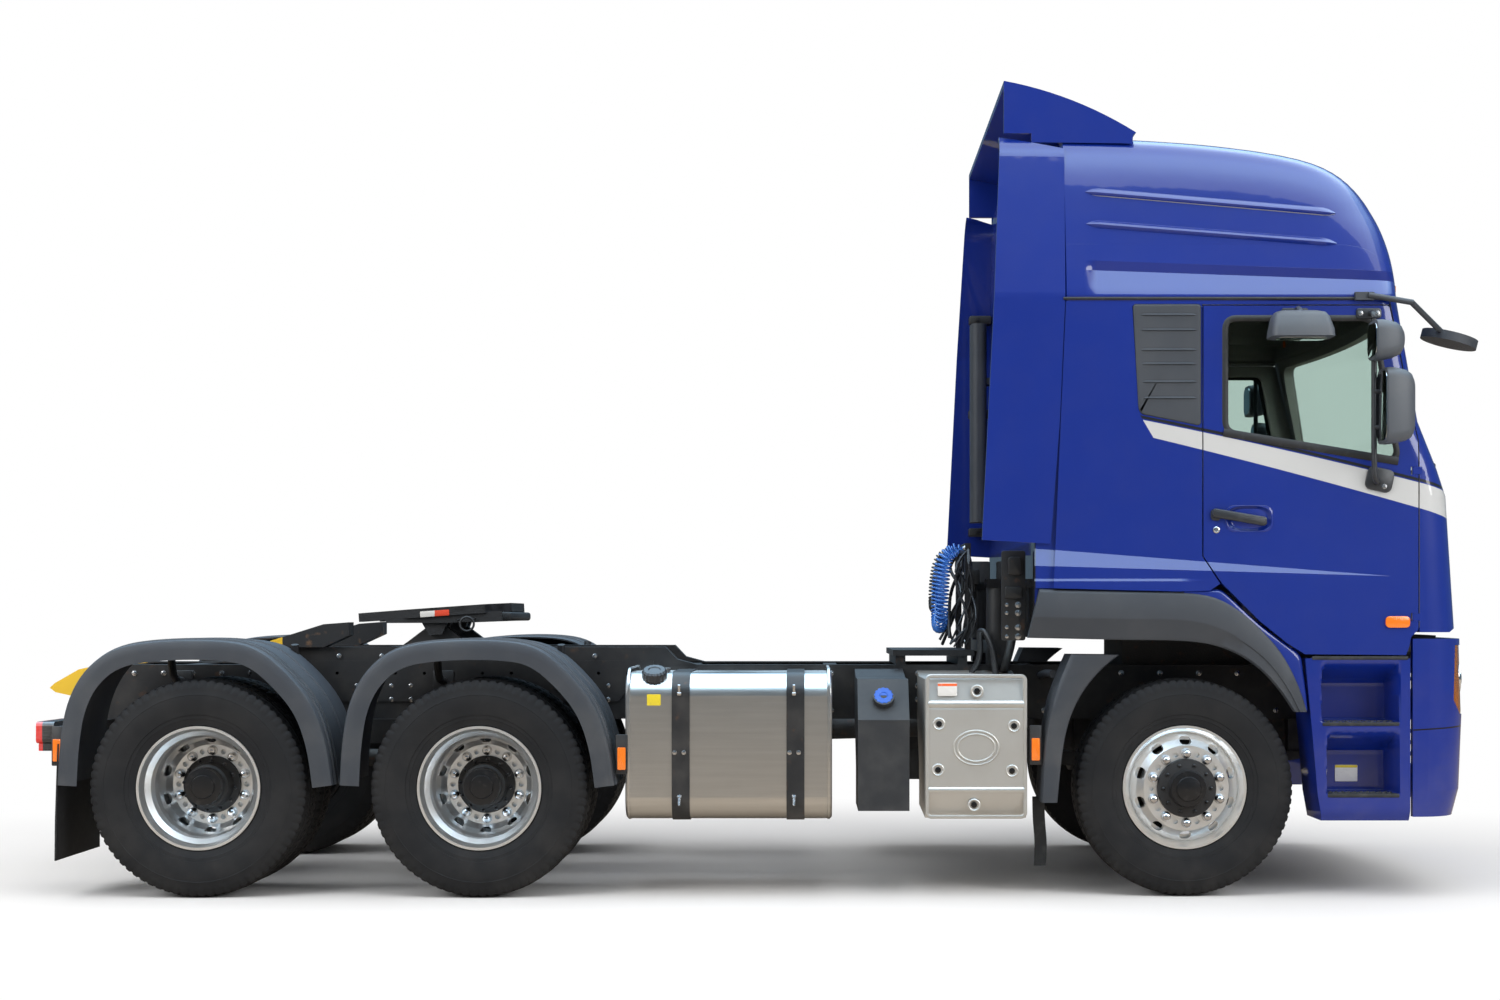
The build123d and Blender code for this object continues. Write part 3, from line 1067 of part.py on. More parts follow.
with BuildPart() as cab_trims:
    add(side_slab([
        (-711, 1483), (-42, 1466), (98, 1470), (173, 1428), (340, 1306), (455, 1205), (500, 1120),
        (560, 896), (520, 896),
        (483, 953), (388, 1087), (244, 1192), (53, 1235), (-186, 1237), (-768, 1250),
    ], -CAB_HALF_WIDTH + 2, -CAB_HALF_WIDTH + WALL - SEAT_GAP))
    add(side_slab([(s + (2 if s < -200 else (-2 if s > 0 else 0)), z) for s, z in
                   [(-270, 2844), (59, 2844), (59, 2264), (-224, 2320), (-239, 2342)]],
                  -CAB_HALF_WIDTH - 4, -CAB_HALF_WIDTH + LOUVRE_DEPTH, 18))
    mirror(about=Plane.XZ)
write("cab_trims", cab_trims)

# ================================================================ inside the cab
FLOOR_TOP = FLOOR_Z[1]
SEAT_Y = CAB_HALF_WIDTH - 685.0
with BuildPart() as seats:
    for y in (-SEAT_Y, SEAT_Y):
        add(block((80, 600), (y - 240, y + 240), (1740, 1880), 60))
        add(side_slab([(-40, 1880), (110, 1880), (40, 2440), (-70, 2440)], y - 230, y + 230, 30))
        add(side_slab([(-70, 2440 + SEAT_GAP), (30, 2440 + SEAT_GAP), (10, 2640), (-80, 2640)], y - 140,
                      y + 140, 25))
        add(block((150, 500), (y - 150, y + 150), (FLOOR_TOP, 1740)))
write("seats", seats)

with BuildPart() as bunk:
    add(block((-675, -140), (-CAB_HALF_WIDTH + 75, CAB_HALF_WIDTH - 75), (FLOOR_TOP, 1780)))
    add(block((-675, -130), (-CAB_HALF_WIDTH + 75, CAB_HALF_WIDTH - 75), (1780 + SEAT_GAP, 1900), 40))
write("bunk", bunk)

with BuildPart() as dashboard:
    add(side_slab([
        (960, FLOOR_TOP), (1100, FLOOR_TOP), (1140, 1930), (1050, 2060), (860, 2080), (800, 2000),
        (860, 1700),
    ], -INSIDE, INSIDE, 20))
    add(rod((855, SEAT_Y, 1809.2), (696.2, SEAT_Y, 2084.3), 30))
write("dashboard", dashboard)

WHEEL_TILT = Vector(-0.5, 0, 0.866)
with BuildPart() as steering_wheel:
    centre = Vector(FRONT_AXLE_X + 690, SEAT_Y, 2095)
    rim_plane = Plane(origin=centre, x_dir=(0, 1, 0), z_dir=WHEEL_TILT)
    with BuildSketch(Plane(origin=centre + Vector(0, 225, 0), x_dir=(0, 1, 0),
                           z_dir=WHEEL_TILT.cross(Vector(0, 1, 0)))):
        Circle(15)
    revolve(axis=Axis(centre, WHEEL_TILT))
    with BuildSketch(rim_plane.offset(-12)):
        Circle(60)
        Rectangle(430, 34)
        with Locations((0, -110)):
            Rectangle(34, 210)
    extrude(amount=24)
write("steering_wheel", steering_wheel)

# ================================================================ overhead mirror and intake stack
with BuildPart() as front_mirror:
    add(block((790, 880), (-CAB_HALF_WIDTH - 26, -CAB_HALF_WIDTH), (GUTTER_Z + 2, 2900)))
    add(rod((850, -CAB_HALF_WIDTH - 25, 2885), (1065, -CAB_HALF_WIDTH - 19, 2850), 14))
    add(rod((1060, -CAB_HALF_WIDTH - 19, 2850), (1300, -CAB_HALF_WIDTH + 285, 2745), 14))
    dish = Plane(origin=(FRONT_AXLE_X + FRONT_REACH - 139 * 0.968 - 44 * 0.25, -900, 2700),
                 z_dir=(0.25, 0, 0.968))
    with BuildSketch(dish):
        Ellipse(139, 110)
    extrude(amount=44)
write("front_mirror", front_mirror)

with BuildPart() as intake_stack:
    with BuildSketch(plan_plane(1900)):
        with Locations((-825, 950)):
            RectangleRounded(90, 190, 38)
    extrude(amount=1150)
    add(block((-780, CAB_REAR), (900, 1000), (2000, 2040)))
    add(block((-780, CAB_REAR), (900, 1000), (2700, 2740)))
write("intake_stack", intake_stack)
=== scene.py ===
"""A three-axle tractor unit with a high-roof sleeper cab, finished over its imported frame, in metres."""
from math import pi, radians

import bmesh
import bpy
import numpy as np
from mathutils import Matrix, Vector
from mathutils.bvhtree import BVHTree


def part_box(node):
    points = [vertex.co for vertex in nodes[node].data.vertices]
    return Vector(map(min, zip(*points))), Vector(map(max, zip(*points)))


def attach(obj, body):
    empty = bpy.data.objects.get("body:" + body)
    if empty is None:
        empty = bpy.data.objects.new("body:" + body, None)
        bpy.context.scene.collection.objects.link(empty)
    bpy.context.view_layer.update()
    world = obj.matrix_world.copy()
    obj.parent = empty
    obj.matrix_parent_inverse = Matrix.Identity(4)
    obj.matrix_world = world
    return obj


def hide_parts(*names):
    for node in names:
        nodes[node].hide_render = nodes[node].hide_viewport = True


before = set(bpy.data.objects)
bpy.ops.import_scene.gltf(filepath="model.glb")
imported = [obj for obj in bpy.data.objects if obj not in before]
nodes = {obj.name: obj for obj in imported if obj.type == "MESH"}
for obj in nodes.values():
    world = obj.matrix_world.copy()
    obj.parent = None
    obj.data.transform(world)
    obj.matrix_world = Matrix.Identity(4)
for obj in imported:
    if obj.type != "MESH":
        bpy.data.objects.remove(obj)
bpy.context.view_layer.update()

scene = bpy.context.scene


# ---------------------------------------------------------------- studio
# A pale floor under a pale sky, lit by one wide soft box overhead and one off each end.
# The camera stands well off the truck's right side at a person's eye height.
AXLE_X = 2.121                       # front axle, from the middle of the truck
CAMERA_STATION, CAMERA_AWAY, CAMERA_HEIGHT = -1.834, 11.2, 1.35      # from the front axle, the middle and the ground
FLOOR_REACH = 40


def at(x, y, z):
    """A point whose station is given from the front axle."""
    return AXLE_X + x, y, z


camera_data = bpy.data.cameras.new("side_camera")
camera_data.lens = 50.0
camera_data.sensor_width = 36.0
camera_data.shift_x = -0.0367
camera_data.shift_y = 0.078
camera = bpy.data.objects.new("side_camera", camera_data)
camera.location = at(CAMERA_STATION, -CAMERA_AWAY, CAMERA_HEIGHT)
camera.rotation_euler = (pi / 2, 0, 0)
scene.collection.objects.link(camera)
scene.camera = camera
scene.view_settings.view_transform = "Standard"


def soft_box(name, place, aim, size, watts):
    """A rectangular studio lamp at a place, turned to face a point."""
    lamp = bpy.data.lights.new(name, "AREA")
    lamp.shape = "RECTANGLE"
    lamp.size, lamp.size_y = size
    lamp.energy = watts
    holder = bpy.data.objects.new(name, lamp)
    holder.location = place
    holder.rotation_euler = (Vector(aim) - Vector(place)).to_track_quat("-Z", "Y").to_euler()
    scene.collection.objects.link(holder)


soft_box("lamp_overhead", (0, -2.0, 9.0), (0, 0, 1.5), (18, 11), 950)
soft_box("lamp_front", (8.5, -7.0, 5.0), (1, 0, 1.5), (5, 4), 420)
soft_box("lamp_rear", (-8.5, -7.5, 5.5), (-1, 0, 1.2), (5, 4), 420)


class Field:
    """A number worked out at each point of a surface: arithmetic on it adds Math nodes."""

    def __init__(self, tree, socket):
        self.tree = tree
        self.socket = socket

    def math(self, operation, *others, clamp=False):
        node = self.tree.nodes.new("ShaderNodeMath")
        node.operation = operation
        node.use_clamp = clamp
        for slot, value in zip(node.inputs, (self,) + others):
            if isinstance(value, Field):
                self.tree.links.new(value.socket, slot)
            else:
                slot.default_value = value
        return Field(self.tree, node.outputs[0])

    def __add__(self, other):
        return self.math("ADD", other)

    def __sub__(self, other):
        return self.math("SUBTRACT", other)

    def __mul__(self, other):
        return self.math("MULTIPLY", other)

    def __truediv__(self, other):
        return self.math("DIVIDE", other)

    def ramp(self, low, high):
        """0 below low, 1 above high, smooth between."""
        node = self.tree.nodes.new("ShaderNodeMapRange")
        node.interpolation_type = "SMOOTHSTEP"
        self.tree.links.new(self.socket, node.inputs["Value"])
        for slot, value in zip(node.inputs[1:5], (low, high, 0.0, 1.0)):
            slot.default_value = value
        return Field(self.tree, node.outputs["Result"])

    def waves(self, turns):
        """A wave from 0 to 1, at so many radians a metre."""
        return (self * turns).math("SINE") * 0.5 + 0.5

    def over(self, edge):
        return self.math("GREATER_THAN", edge)

    def under(self, edge):
        return self.math("LESS_THAN", edge)


def place_fields(tree, kind="Object"):
    """The x, y and z of a surface point, as three fields, and the vector they come from."""
    source = tree.nodes.new("ShaderNodeTexCoord").outputs[kind]
    split = tree.nodes.new("ShaderNodeSeparateXYZ")
    tree.links.new(source, split.inputs[0])
    return [Field(tree, socket) for socket in split.outputs], source


def mixed(tree, mask, under, over):
    """One colour laid over another as far as a mask goes; each is three numbers or the socket it comes from."""
    mix = tree.nodes.new("ShaderNodeMix")
    mix.data_type = "RGBA"
    tree.links.new(mask.socket, mix.inputs[0])
    for slot, colour in ((mix.inputs[6], under), (mix.inputs[7], over)):
        if isinstance(colour, bpy.types.NodeSocket):
            tree.links.new(colour, slot)
        else:
            slot.default_value = (*colour, 1)
    return mix.outputs[2]


def sky():
    """Pale sky: white to the camera and through glass, brighter overhead than at the horizon in reflections."""
    world = bpy.data.worlds.new("sky")
    scene.world = world
    world.use_nodes = True
    tree = world.node_tree
    tree.nodes.clear()
    rays = tree.nodes.new("ShaderNodeLightPath")
    direct, through, glossy = (Field(tree, rays.outputs[f"Is {kind} Ray"])
                               for kind in ("Camera", "Transmission", "Glossy"))
    seen = direct.math("MAXIMUM", through)
    (_, _, height), _ = place_fields(tree, "Generated")
    haze, glare, zenith = height.ramp(0.49, 0.63) * 0.84, height.ramp(0.53, 0.72) * 3.0, height.ramp(0.80, 1.0) * 2.2
    mirrored_sky = haze + glare - zenith + 0.18
    strength = seen.math("MAXIMUM", glossy * mirrored_sky + glossy.under(0.5) * 0.42)
    tint = mixed(tree, glossy * seen.under(0.5), (1, 1, 1), (0.50, 0.76, 1))
    background = tree.nodes.new("ShaderNodeBackground")
    tree.links.new(tint, background.inputs["Color"])
    tree.links.new(strength.socket, background.inputs["Strength"])
    out = tree.nodes.new("ShaderNodeOutputWorld")
    tree.links.new(background.outputs[0], out.inputs["Surface"])


def floor():
    """A wide floor that keeps the truck's shadow and turns plain white away from it."""
    mesh = bpy.data.meshes.new("floor")
    mesh.from_pydata([(x * FLOOR_REACH, y * FLOOR_REACH, 0) for x, y in ((-1, -1), (1, -1), (1, 1), (-1, 1))], [],
                     [(0, 1, 2, 3)])
    plane = bpy.data.objects.new("floor", mesh)
    scene.collection.objects.link(plane)
    material = bpy.data.materials.new("floor")
    material.use_nodes = True
    tree = material.node_tree
    tree.nodes.clear()
    (x, y, _), _ = place_fields(tree)
    distance = (x * x * 0.35 + y * y).math("SQRT")
    rays = tree.nodes.new("ShaderNodeLightPath")
    far = distance.ramp(2.0, 4.5) * Field(tree, rays.outputs["Is Camera Ray"])
    mirrored = Field(tree, rays.outputs["Is Glossy Ray"])
    chalk = tree.nodes.new("ShaderNodeBsdfDiffuse")
    tree.links.new(mixed(tree, mirrored, (0.86, 0.86, 0.86), (0.46, 0.40, 0.33)), chalk.inputs["Color"])
    glow = tree.nodes.new("ShaderNodeEmission")
    blend = tree.nodes.new("ShaderNodeMixShader")
    tree.links.new(far.socket, blend.inputs["Fac"])
    tree.links.new(chalk.outputs[0], blend.inputs[1])
    tree.links.new(glow.outputs[0], blend.inputs[2])
    out = tree.nodes.new("ShaderNodeOutputMaterial")
    tree.links.new(blend.outputs[0], out.inputs["Surface"])
    mesh.materials.append(material)


sky()
floor()


# ---------------------------------------------------------------- coiled lines
# The trailer's air and electric lines are nylon coils that hang in a loop from the stand behind the cab.
class Finish:
    """A named surface finish: a shader whose colours are laid over each other, with its bumps and sheen."""

    def __init__(self, name, colour, metallic=0.0, roughness=0.5, **sockets):
        self.material = bpy.data.materials.new(name)
        self.material.use_nodes = True
        self.tree = self.material.node_tree
        self.shader = self.tree.nodes["Principled BSDF"]
        self.shader.inputs["Base Color"].default_value = (*colour, 1)
        self.shader.inputs["Metallic"].default_value = metallic
        self.shader.inputs["Roughness"].default_value = roughness
        for socket, value in sockets.items():
            self.shader.inputs[socket.replace("_", " ")].default_value = value
        (self.x, self.y, self.z), self.place = place_fields(self.tree)

    def noise(self, scale, detail=3.0, stretch=(1, 1, 1)):
        """Cloudy variation from 0 to 1 at so many lumps a metre, drawn out along an axis by stretch."""
        mapping = self.tree.nodes.new("ShaderNodeMapping")
        mapping.inputs["Scale"].default_value = stretch
        self.tree.links.new(self.place, mapping.inputs["Vector"])
        noise = self.tree.nodes.new("ShaderNodeTexNoise")
        noise.inputs["Scale"].default_value = scale
        noise.inputs["Detail"].default_value = detail
        self.tree.links.new(mapping.outputs[0], noise.inputs["Vector"])
        return Field(self.tree, noise.outputs["Fac"])

    def colour_over(self, mask, colour):
        """Lays a colour over what is there, as far as the mask goes."""
        base = self.shader.inputs["Base Color"]
        under = base.links[0].from_socket if base.is_linked else base.default_value[:3]
        self.tree.links.new(mixed(self.tree, mask, under, colour), base)
        return self

    def mottle(self, scale, detail, low, high, amount, colour):
        """Lays a colour over in cloudy patches, where the noise lies between low and high."""
        return self.colour_over(self.noise(scale, detail).ramp(low, high) * amount, colour)

    def drive(self, socket, field):
        self.tree.links.new(field.socket, self.shader.inputs[socket])
        return self

    def bump(self, field, metres):
        """Raises the surface by a field, up to so many metres."""
        node = self.tree.nodes.new("ShaderNodeBump")
        node.inputs["Strength"].default_value = 1.0
        node.inputs["Distance"].default_value = metres
        self.tree.links.new(field.socket, node.inputs["Height"])
        if self.shader.inputs["Normal"].is_linked:
            self.tree.links.new(self.shader.inputs["Normal"].links[0].from_socket, node.inputs["Normal"])
        for name in ("Normal", "Coat Normal"):
            self.tree.links.new(node.outputs[0], self.shader.inputs[name])
        return self

    def grain(self, scale, detail, metres):
        return self.bump(self.noise(scale, detail), metres)

    def dust(self, amount=0.5, colour=(0.32, 0.29, 0.25), top=1.3):
        """Road dust: thickest low down, in patches, and dull where it lies."""
        low = self.z.math("MULTIPLY_ADD", -1.0 / top, 1.0, clamp=True)
        mask = (low * 0.8 + 0.12) * self.noise(7.0, 5.0).ramp(0.35, 0.8) * amount
        return self.colour_over(mask, colour)


def paint_nodes(finish, *names):
    """Gives frame pieces a finish in place of their plain one."""
    for name in names:
        mesh = nodes[name].data
        for index in range(max(1, len(mesh.materials))):
            if mesh.materials:
                mesh.materials[index] = finish.material
            else:
                mesh.materials.append(finish.material)
    return finish


class Shape:
    """Points and faces gathered for one piece."""

    def __init__(self):
        self.points = []
        self.faces = []
        self.count = 0

    def add(self, points, faces):
        points = np.asarray(points, float).reshape(-1, 3)
        self.points.append(points)
        self.faces += [[corner + self.count for corner in face] for face in faces]
        self.count += len(points)
        return self

    def grid(self, points, closed_rows=False, closed_columns=False, caps=False):
        """A grid of points; caps close its first and last rows with one face each."""
        rows, columns = points.shape[:2]
        r = np.arange(rows if closed_rows else rows - 1)[:, None]
        c = np.arange(columns if closed_columns else columns - 1)[None, :]
        r2, c2 = (r + 1) % rows, (c + 1) % columns
        quads = np.stack([r * columns + c, r * columns + c2, r2 * columns + c2, r2 * columns + c], -1)
        faces = quads.reshape(-1, 4).tolist()
        if caps:
            faces += [list(range(columns)), list(range((rows - 1) * columns, rows * columns))]
        return self.add(points, faces)

    def piece(self, name, finish, sharp, weld, flip):
        """Makes the piece: points nearer than weld are joined, the faces are turned outwards, and edges are sharp
        past an angle."""
        mesh = bpy.data.meshes.new(name)
        mesh.from_pydata((np.concatenate(self.points) * flip).tolist(), [], self.faces)
        mesh.validate()
        work = bmesh.new()
        work.from_mesh(mesh)
        if weld:
            bmesh.ops.remove_doubles(work, verts=work.verts, dist=weld)
        bmesh.ops.recalc_face_normals(work, faces=work.faces)
        work.to_mesh(mesh)
        work.free()
        mesh.shade_smooth()
        mesh.set_sharp_from_angle(angle=radians(sharp))
        mesh.materials.append(finish.material)
        piece = bpy.data.objects.new(name, mesh)
        scene.collection.objects.link(piece)
        return piece


def single(shape, name, finish, body, sharp=35.0, weld=0.0, flip=(1, 1, 1)):
    piece = shape.piece(name, finish, sharp, weld, flip)
    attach(piece, body)
    return piece


def sided(side, shape, name, finish, body, slot, sharp=35.0):
    """The piece of one side, drawn on the right and flipped for the left, on the body of its own side."""
    flip = (1, 1 if side == "right" else -1, 1)
    return single(shape, f"{name}_{side}", finish, body.format(side=side), sharp, flip=flip)


def paired(*piece):
    """The right-hand piece and its left-hand copy."""
    return [sided(side, *piece) for side in ("right", "left")]


def unit(vectors):
    """Vectors scaled to a length of one."""
    vectors = np.asarray(vectors, float)
    return vectors / np.linalg.norm(vectors, axis=-1, keepdims=True)


def along(path, cross, facing=None):
    """A closed cross-section carried along a path: each ring stands square to the path's run there.
    The ring's first axis is kept near level, so nothing twists, or looks the one way that facing gives."""
    path = np.asarray(path, float)
    run = unit(np.gradient(path, axis=0))
    if facing is None:
        side = np.cross(run, (0.0, 0.0, 1.0))
        weak = np.linalg.norm(side, axis=1) < 0.05
        side[weak] = np.cross(run[weak], (0.0, 1.0, 0.0))
        side = unit(side)
    else:
        side = np.broadcast_to(np.asarray(facing, float), path.shape)
    up = np.cross(side, run)
    cross = np.asarray(cross, float)
    return path[:, None] + side[:, None] * cross[None, :, :1] + up[:, None] * cross[None, :, 1:]


def ellipse(a, b, count=12):
    turn = np.arange(count) / count * 2 * pi
    return np.stack([np.cos(turn) * a, np.sin(turn) * b], -1)


def line_route(y_from, y_to, top, low):
    """The hanging line's corner points: out of one coupling, down, across the bottom and up to the other."""
    reach = -1.0
    route = [
        (reach, y_from, top), (reach - 0.075, y_from, top), (reach - 0.115, y_from + 0.004, top - 0.13),
        (reach - 0.120, y_from, low), (reach - 0.120, y_to, low), (reach - 0.115, y_to - 0.004, top - 0.13),
        (reach - 0.075, y_to, top), (reach, y_to, top),
    ]
    return [at(*corner) for corner in route]


def route_points(route):
    """Points along the smooth line that the route's corners steer."""
    curve = bpy.data.curves.new("route", "CURVE")
    curve.dimensions = "3D"
    curve.resolution_u = 16
    spline = curve.splines.new("NURBS")
    spline.points.add(len(route) - 1)
    for point, place in zip(spline.points, route):
        point.co = (*place, 1.0)
    spline.order_u = 3
    spline.use_endpoint_u = True
    holder = bpy.data.objects.new("route", curve)
    mesh = bpy.data.meshes.new_from_object(holder)
    points = np.array([vertex.co for vertex in mesh.vertices])
    bpy.data.objects.remove(holder)
    bpy.data.meshes.remove(mesh)
    bpy.data.curves.remove(curve)
    return points


COIL_TAIL = 0.05


def coiled_line(name, node, route, coil, tube, pitch, finish):
    """A tube wound round the route: its centre stands off the route by the coil's radius and turns once a pitch,
    and both ends run straight for a short tail."""
    spine = route_points(route)
    steps = np.linalg.norm(np.diff(spine, axis=0), axis=1)
    travel = np.concatenate([[0], np.cumsum(steps)])
    count = int(travel[-1] / pitch * 12)
    marks = np.linspace(0, travel[-1], count)
    centre = np.stack([np.interp(marks, travel, spine[:, i]) for i in range(3)], -1)
    run = unit(np.gradient(centre, axis=0))
    side = unit(np.cross(run, (0.3, 0.1, 1.0)))
    up = np.cross(side, run)
    swell = np.clip(np.minimum(marks, travel[-1] - marks) / COIL_TAIL, 0, 1)[:, None] * (coil - tube) / 2
    turn = (marks / pitch * 2 * pi)[:, None]
    wound = centre + side * np.cos(turn) * swell + up * np.sin(turn) * swell
    shape = Shape().grid(along(wound, ellipse(tube / 2, tube / 2, 7)), closed_columns=True, caps=True)
    piece = single(shape, name, finish, "chassis", 60)
    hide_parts(node)


air_nylon = Finish("air_line_nylon", (0.05, 0.22, 0.72), roughness=0.28, Coat_Weight=0.3)
air_nylon.mottle(30, 3, 0.45, 0.75, 0.3, (0.02, 0.1, 0.45))
cable_rubber = Finish("cable_rubber", (0.018, 0.018, 0.02), roughness=0.45)
cable_rubber.mottle(40, 3, 0.45, 0.75, 0.5, (0.05, 0.05, 0.05))
COUPLING_Z, HOSE_THICK = 1.712, 0.010
coiled_line("coiled_air_line", "air_line", line_route(-0.29, 0.04, COUPLING_Z, 1.300),
            0.076, HOSE_THICK, 0.020, air_nylon)
coiled_line("coiled_electric_line", "electric_line", line_route(0.11, 0.39, COUPLING_Z, 1.400),
            0.062, HOSE_THICK, 0.018, cable_rubber)


# ---------------------------------------------------------------- tyres
# Radial truck tyres: ribbed tread with cut shoulders, rings moulded round the walls, grey dust on the black rubber.
TYRE_RADIUS = 0.527
rubber = Finish("tyre_rubber", (0.012, 0.012, 0.013), roughness=0.66, Specular_IOR_Level=0.22)
rubber.mottle(5, 5, 0.42, 0.75, 0.3, (0.030, 0.029, 0.028))
rubber.dust(0.15, (0.10, 0.09, 0.08), 1.1)
rubber.grain(400, 2, 0.0004)


NOTCHES, COLUMNS_A_NOTCH = 76, 6


def tyre(shape, centre, middle_y):
    """A closed ring: the wall and tread outline turned about the axle, cut back by notches round the shoulders."""
    outline = np.array([              # distance from the middle of the tyre, radius
        (-0.103, 0.2885), (-0.103, 0.3010), (-0.112, 0.3040), (-0.1160, 0.3150), (-0.1215, 0.3330),
        (-0.1240, 0.3350), (-0.1265, 0.3520), (-0.1300, 0.3540), (-0.1345, 0.3800), (-0.1395, 0.4250),
        (-0.1375, 0.4480), (-0.1390, 0.4500), (-0.1370, 0.4560), (-0.1335, 0.4800), (-0.1330, 0.4860),
        (-0.1275, 0.5050), (-0.1180, 0.5190), (-0.1040, 0.5210), (-0.0780, 0.5240), (-0.0770, 0.5100),
        (-0.0690, 0.5100), (-0.0680, 0.5250), (-0.0300, 0.5262), (-0.0290, 0.5110), (-0.0210, 0.5110),
        (-0.0200, 0.5266),
    ])
    outline = np.concatenate([outline, outline[::-1] * (-1, 1)])
    columns = NOTCHES * COLUMNS_A_NOTCH
    turn = np.arange(columns) / columns * 2 * pi
    cut = np.isin(np.arange(columns) % COLUMNS_A_NOTCH, (0, 1))
    y = middle_y + outline[None, :, 0] + 0 * turn[:, None]
    shoulder = (np.abs(outline[:, 0]) > 0.1) & (outline[:, 1] > 0.483)
    centre_rib = (np.abs(outline[:, 0]) < 0.029) & (outline[:, 1] > 0.52)
    radius = outline[None, :, 1] - cut[:, None] * (shoulder * 0.0065 + centre_rib * 0.004)[None, :]
    x = centre[0] + radius * np.sin(turn)[:, None]
    z = centre[1] + radius * np.cos(turn)[:, None]
    return shape.grid(np.stack([x, y, z], -1), closed_rows=True, closed_columns=True)


AXLE_Z = TYRE_RADIUS
FRONT_WHEEL_Y, TWIN_Y, TWIN_SPREAD = 1.020, 0.920, 0.155
axles = {"front": AXLE_X, "middle": AXLE_X - 3.400, "rear": AXLE_X - 4.750}
for axle, station in axles.items():
    for side, sign in (("right", -1), ("left", 1)):
        shape = Shape()
        if axle == "front":
            node, body = f"front_tyre_{side}", f"front_{side}_wheel"
            tyre(shape, (station, AXLE_Z), sign * FRONT_WHEEL_Y)
        else:
            node, body = f"{axle}_tyres_{side}", f"{axle}_{side}_wheels"
            for spread in (-TWIN_SPREAD, TWIN_SPREAD):
                tyre(shape, (station, AXLE_Z), sign * (TWIN_Y + spread))
        piece = single(shape, f"{axle}_{side}_tyre_rubber", rubber, body, 28)
        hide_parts(node)


# ---------------------------------------------------------------- wheels
# Forged alloy discs, turned and polished, with black iron hubs and drums behind them and ten domed steel nuts each.
def wheel_alloy(name, station, hub_radius, drum_edge):
    """Polished alloy with fine turned rings; the hub inside its radius and the drum inboard of its edge are
    black iron."""
    finish = Finish(name, (0.88, 0.88, 0.87), metallic=0.92, roughness=0.3)
    dx, dz = finish.x - station, finish.z - AXLE_Z
    radius = (dx * dx + dz * dz).math("SQRT")
    across = finish.y.math("ABSOLUTE")
    iron = radius.under(hub_radius).math("MAXIMUM", across.under(drum_edge))
    finish.mottle(9, 4, 0.5, 0.8, 0.35, (0.62, 0.59, 0.55))
    finish.colour_over(iron, (0.014, 0.013, 0.013))
    finish.drive("Metallic", iron * -0.92 + 0.92)
    finish.drive("Roughness", iron * 0.25 + finish.noise(14, 3) * 0.16 + 0.24)
    finish.bump(radius.waves(2600.0), 0.00006)
    return finish


nut_steel = Finish("wheel_nut_steel", (0.62, 0.62, 0.63), metallic=1.0, roughness=0.26)
nut_steel.mottle(60, 3, 0.5, 0.75, 0.6, (0.3, 0.27, 0.24))
hub_black = Finish("hub_black", (0.008, 0.008, 0.009), roughness=0.34, Coat_Weight=0.3, Specular_IOR_Level=0.3)
hub_black.mottle(25, 4, 0.55, 0.8, 0.5, (0.06, 0.055, 0.05)).grain(120, 3, 0.0006)


def dome_nuts(shape, centre, face_y, sign, circle_radius, count, radius, length, turn0=0.0, sides=12):
    """Round nuts on a bolt circle: each is a barrel with a domed end, standing out from the face."""
    reach = np.array([0.0, 0.0, 0.12, 0.62, 0.80, 0.93, 1.0]) * length
    width = np.array([0.01, 1.25, 1.18, 1.0, 0.93, 0.66, 0.05]) * radius
    around = np.arange(sides) / sides * 2 * pi
    for index in range(count):
        angle = turn0 + index / count * 2 * pi
        x = centre[0] + circle_radius * np.sin(angle) + width[:, None] * np.cos(around)
        z = centre[1] + circle_radius * np.cos(angle) + width[:, None] * np.sin(around)
        y = face_y + sign * reach[:, None] + 0 * around
        shape.grid(np.stack([x, y, z], -1), closed_columns=True, caps=True)
    return shape


def turned(shape, profile, centre, sign, sides=48):
    """A closed solid turned about an axle: profile points are (distance from the middle, radius)."""
    around = np.arange(sides) / sides * 2 * pi
    profile = np.asarray(profile, float)
    x = centre[0] + profile[:, 1:] * np.cos(around)
    z = centre[1] + profile[:, 1:] * np.sin(around)
    y = sign * profile[:, :1] + 0 * around
    return shape.grid(np.stack([x, y, z], -1), closed_columns=True, caps=True)


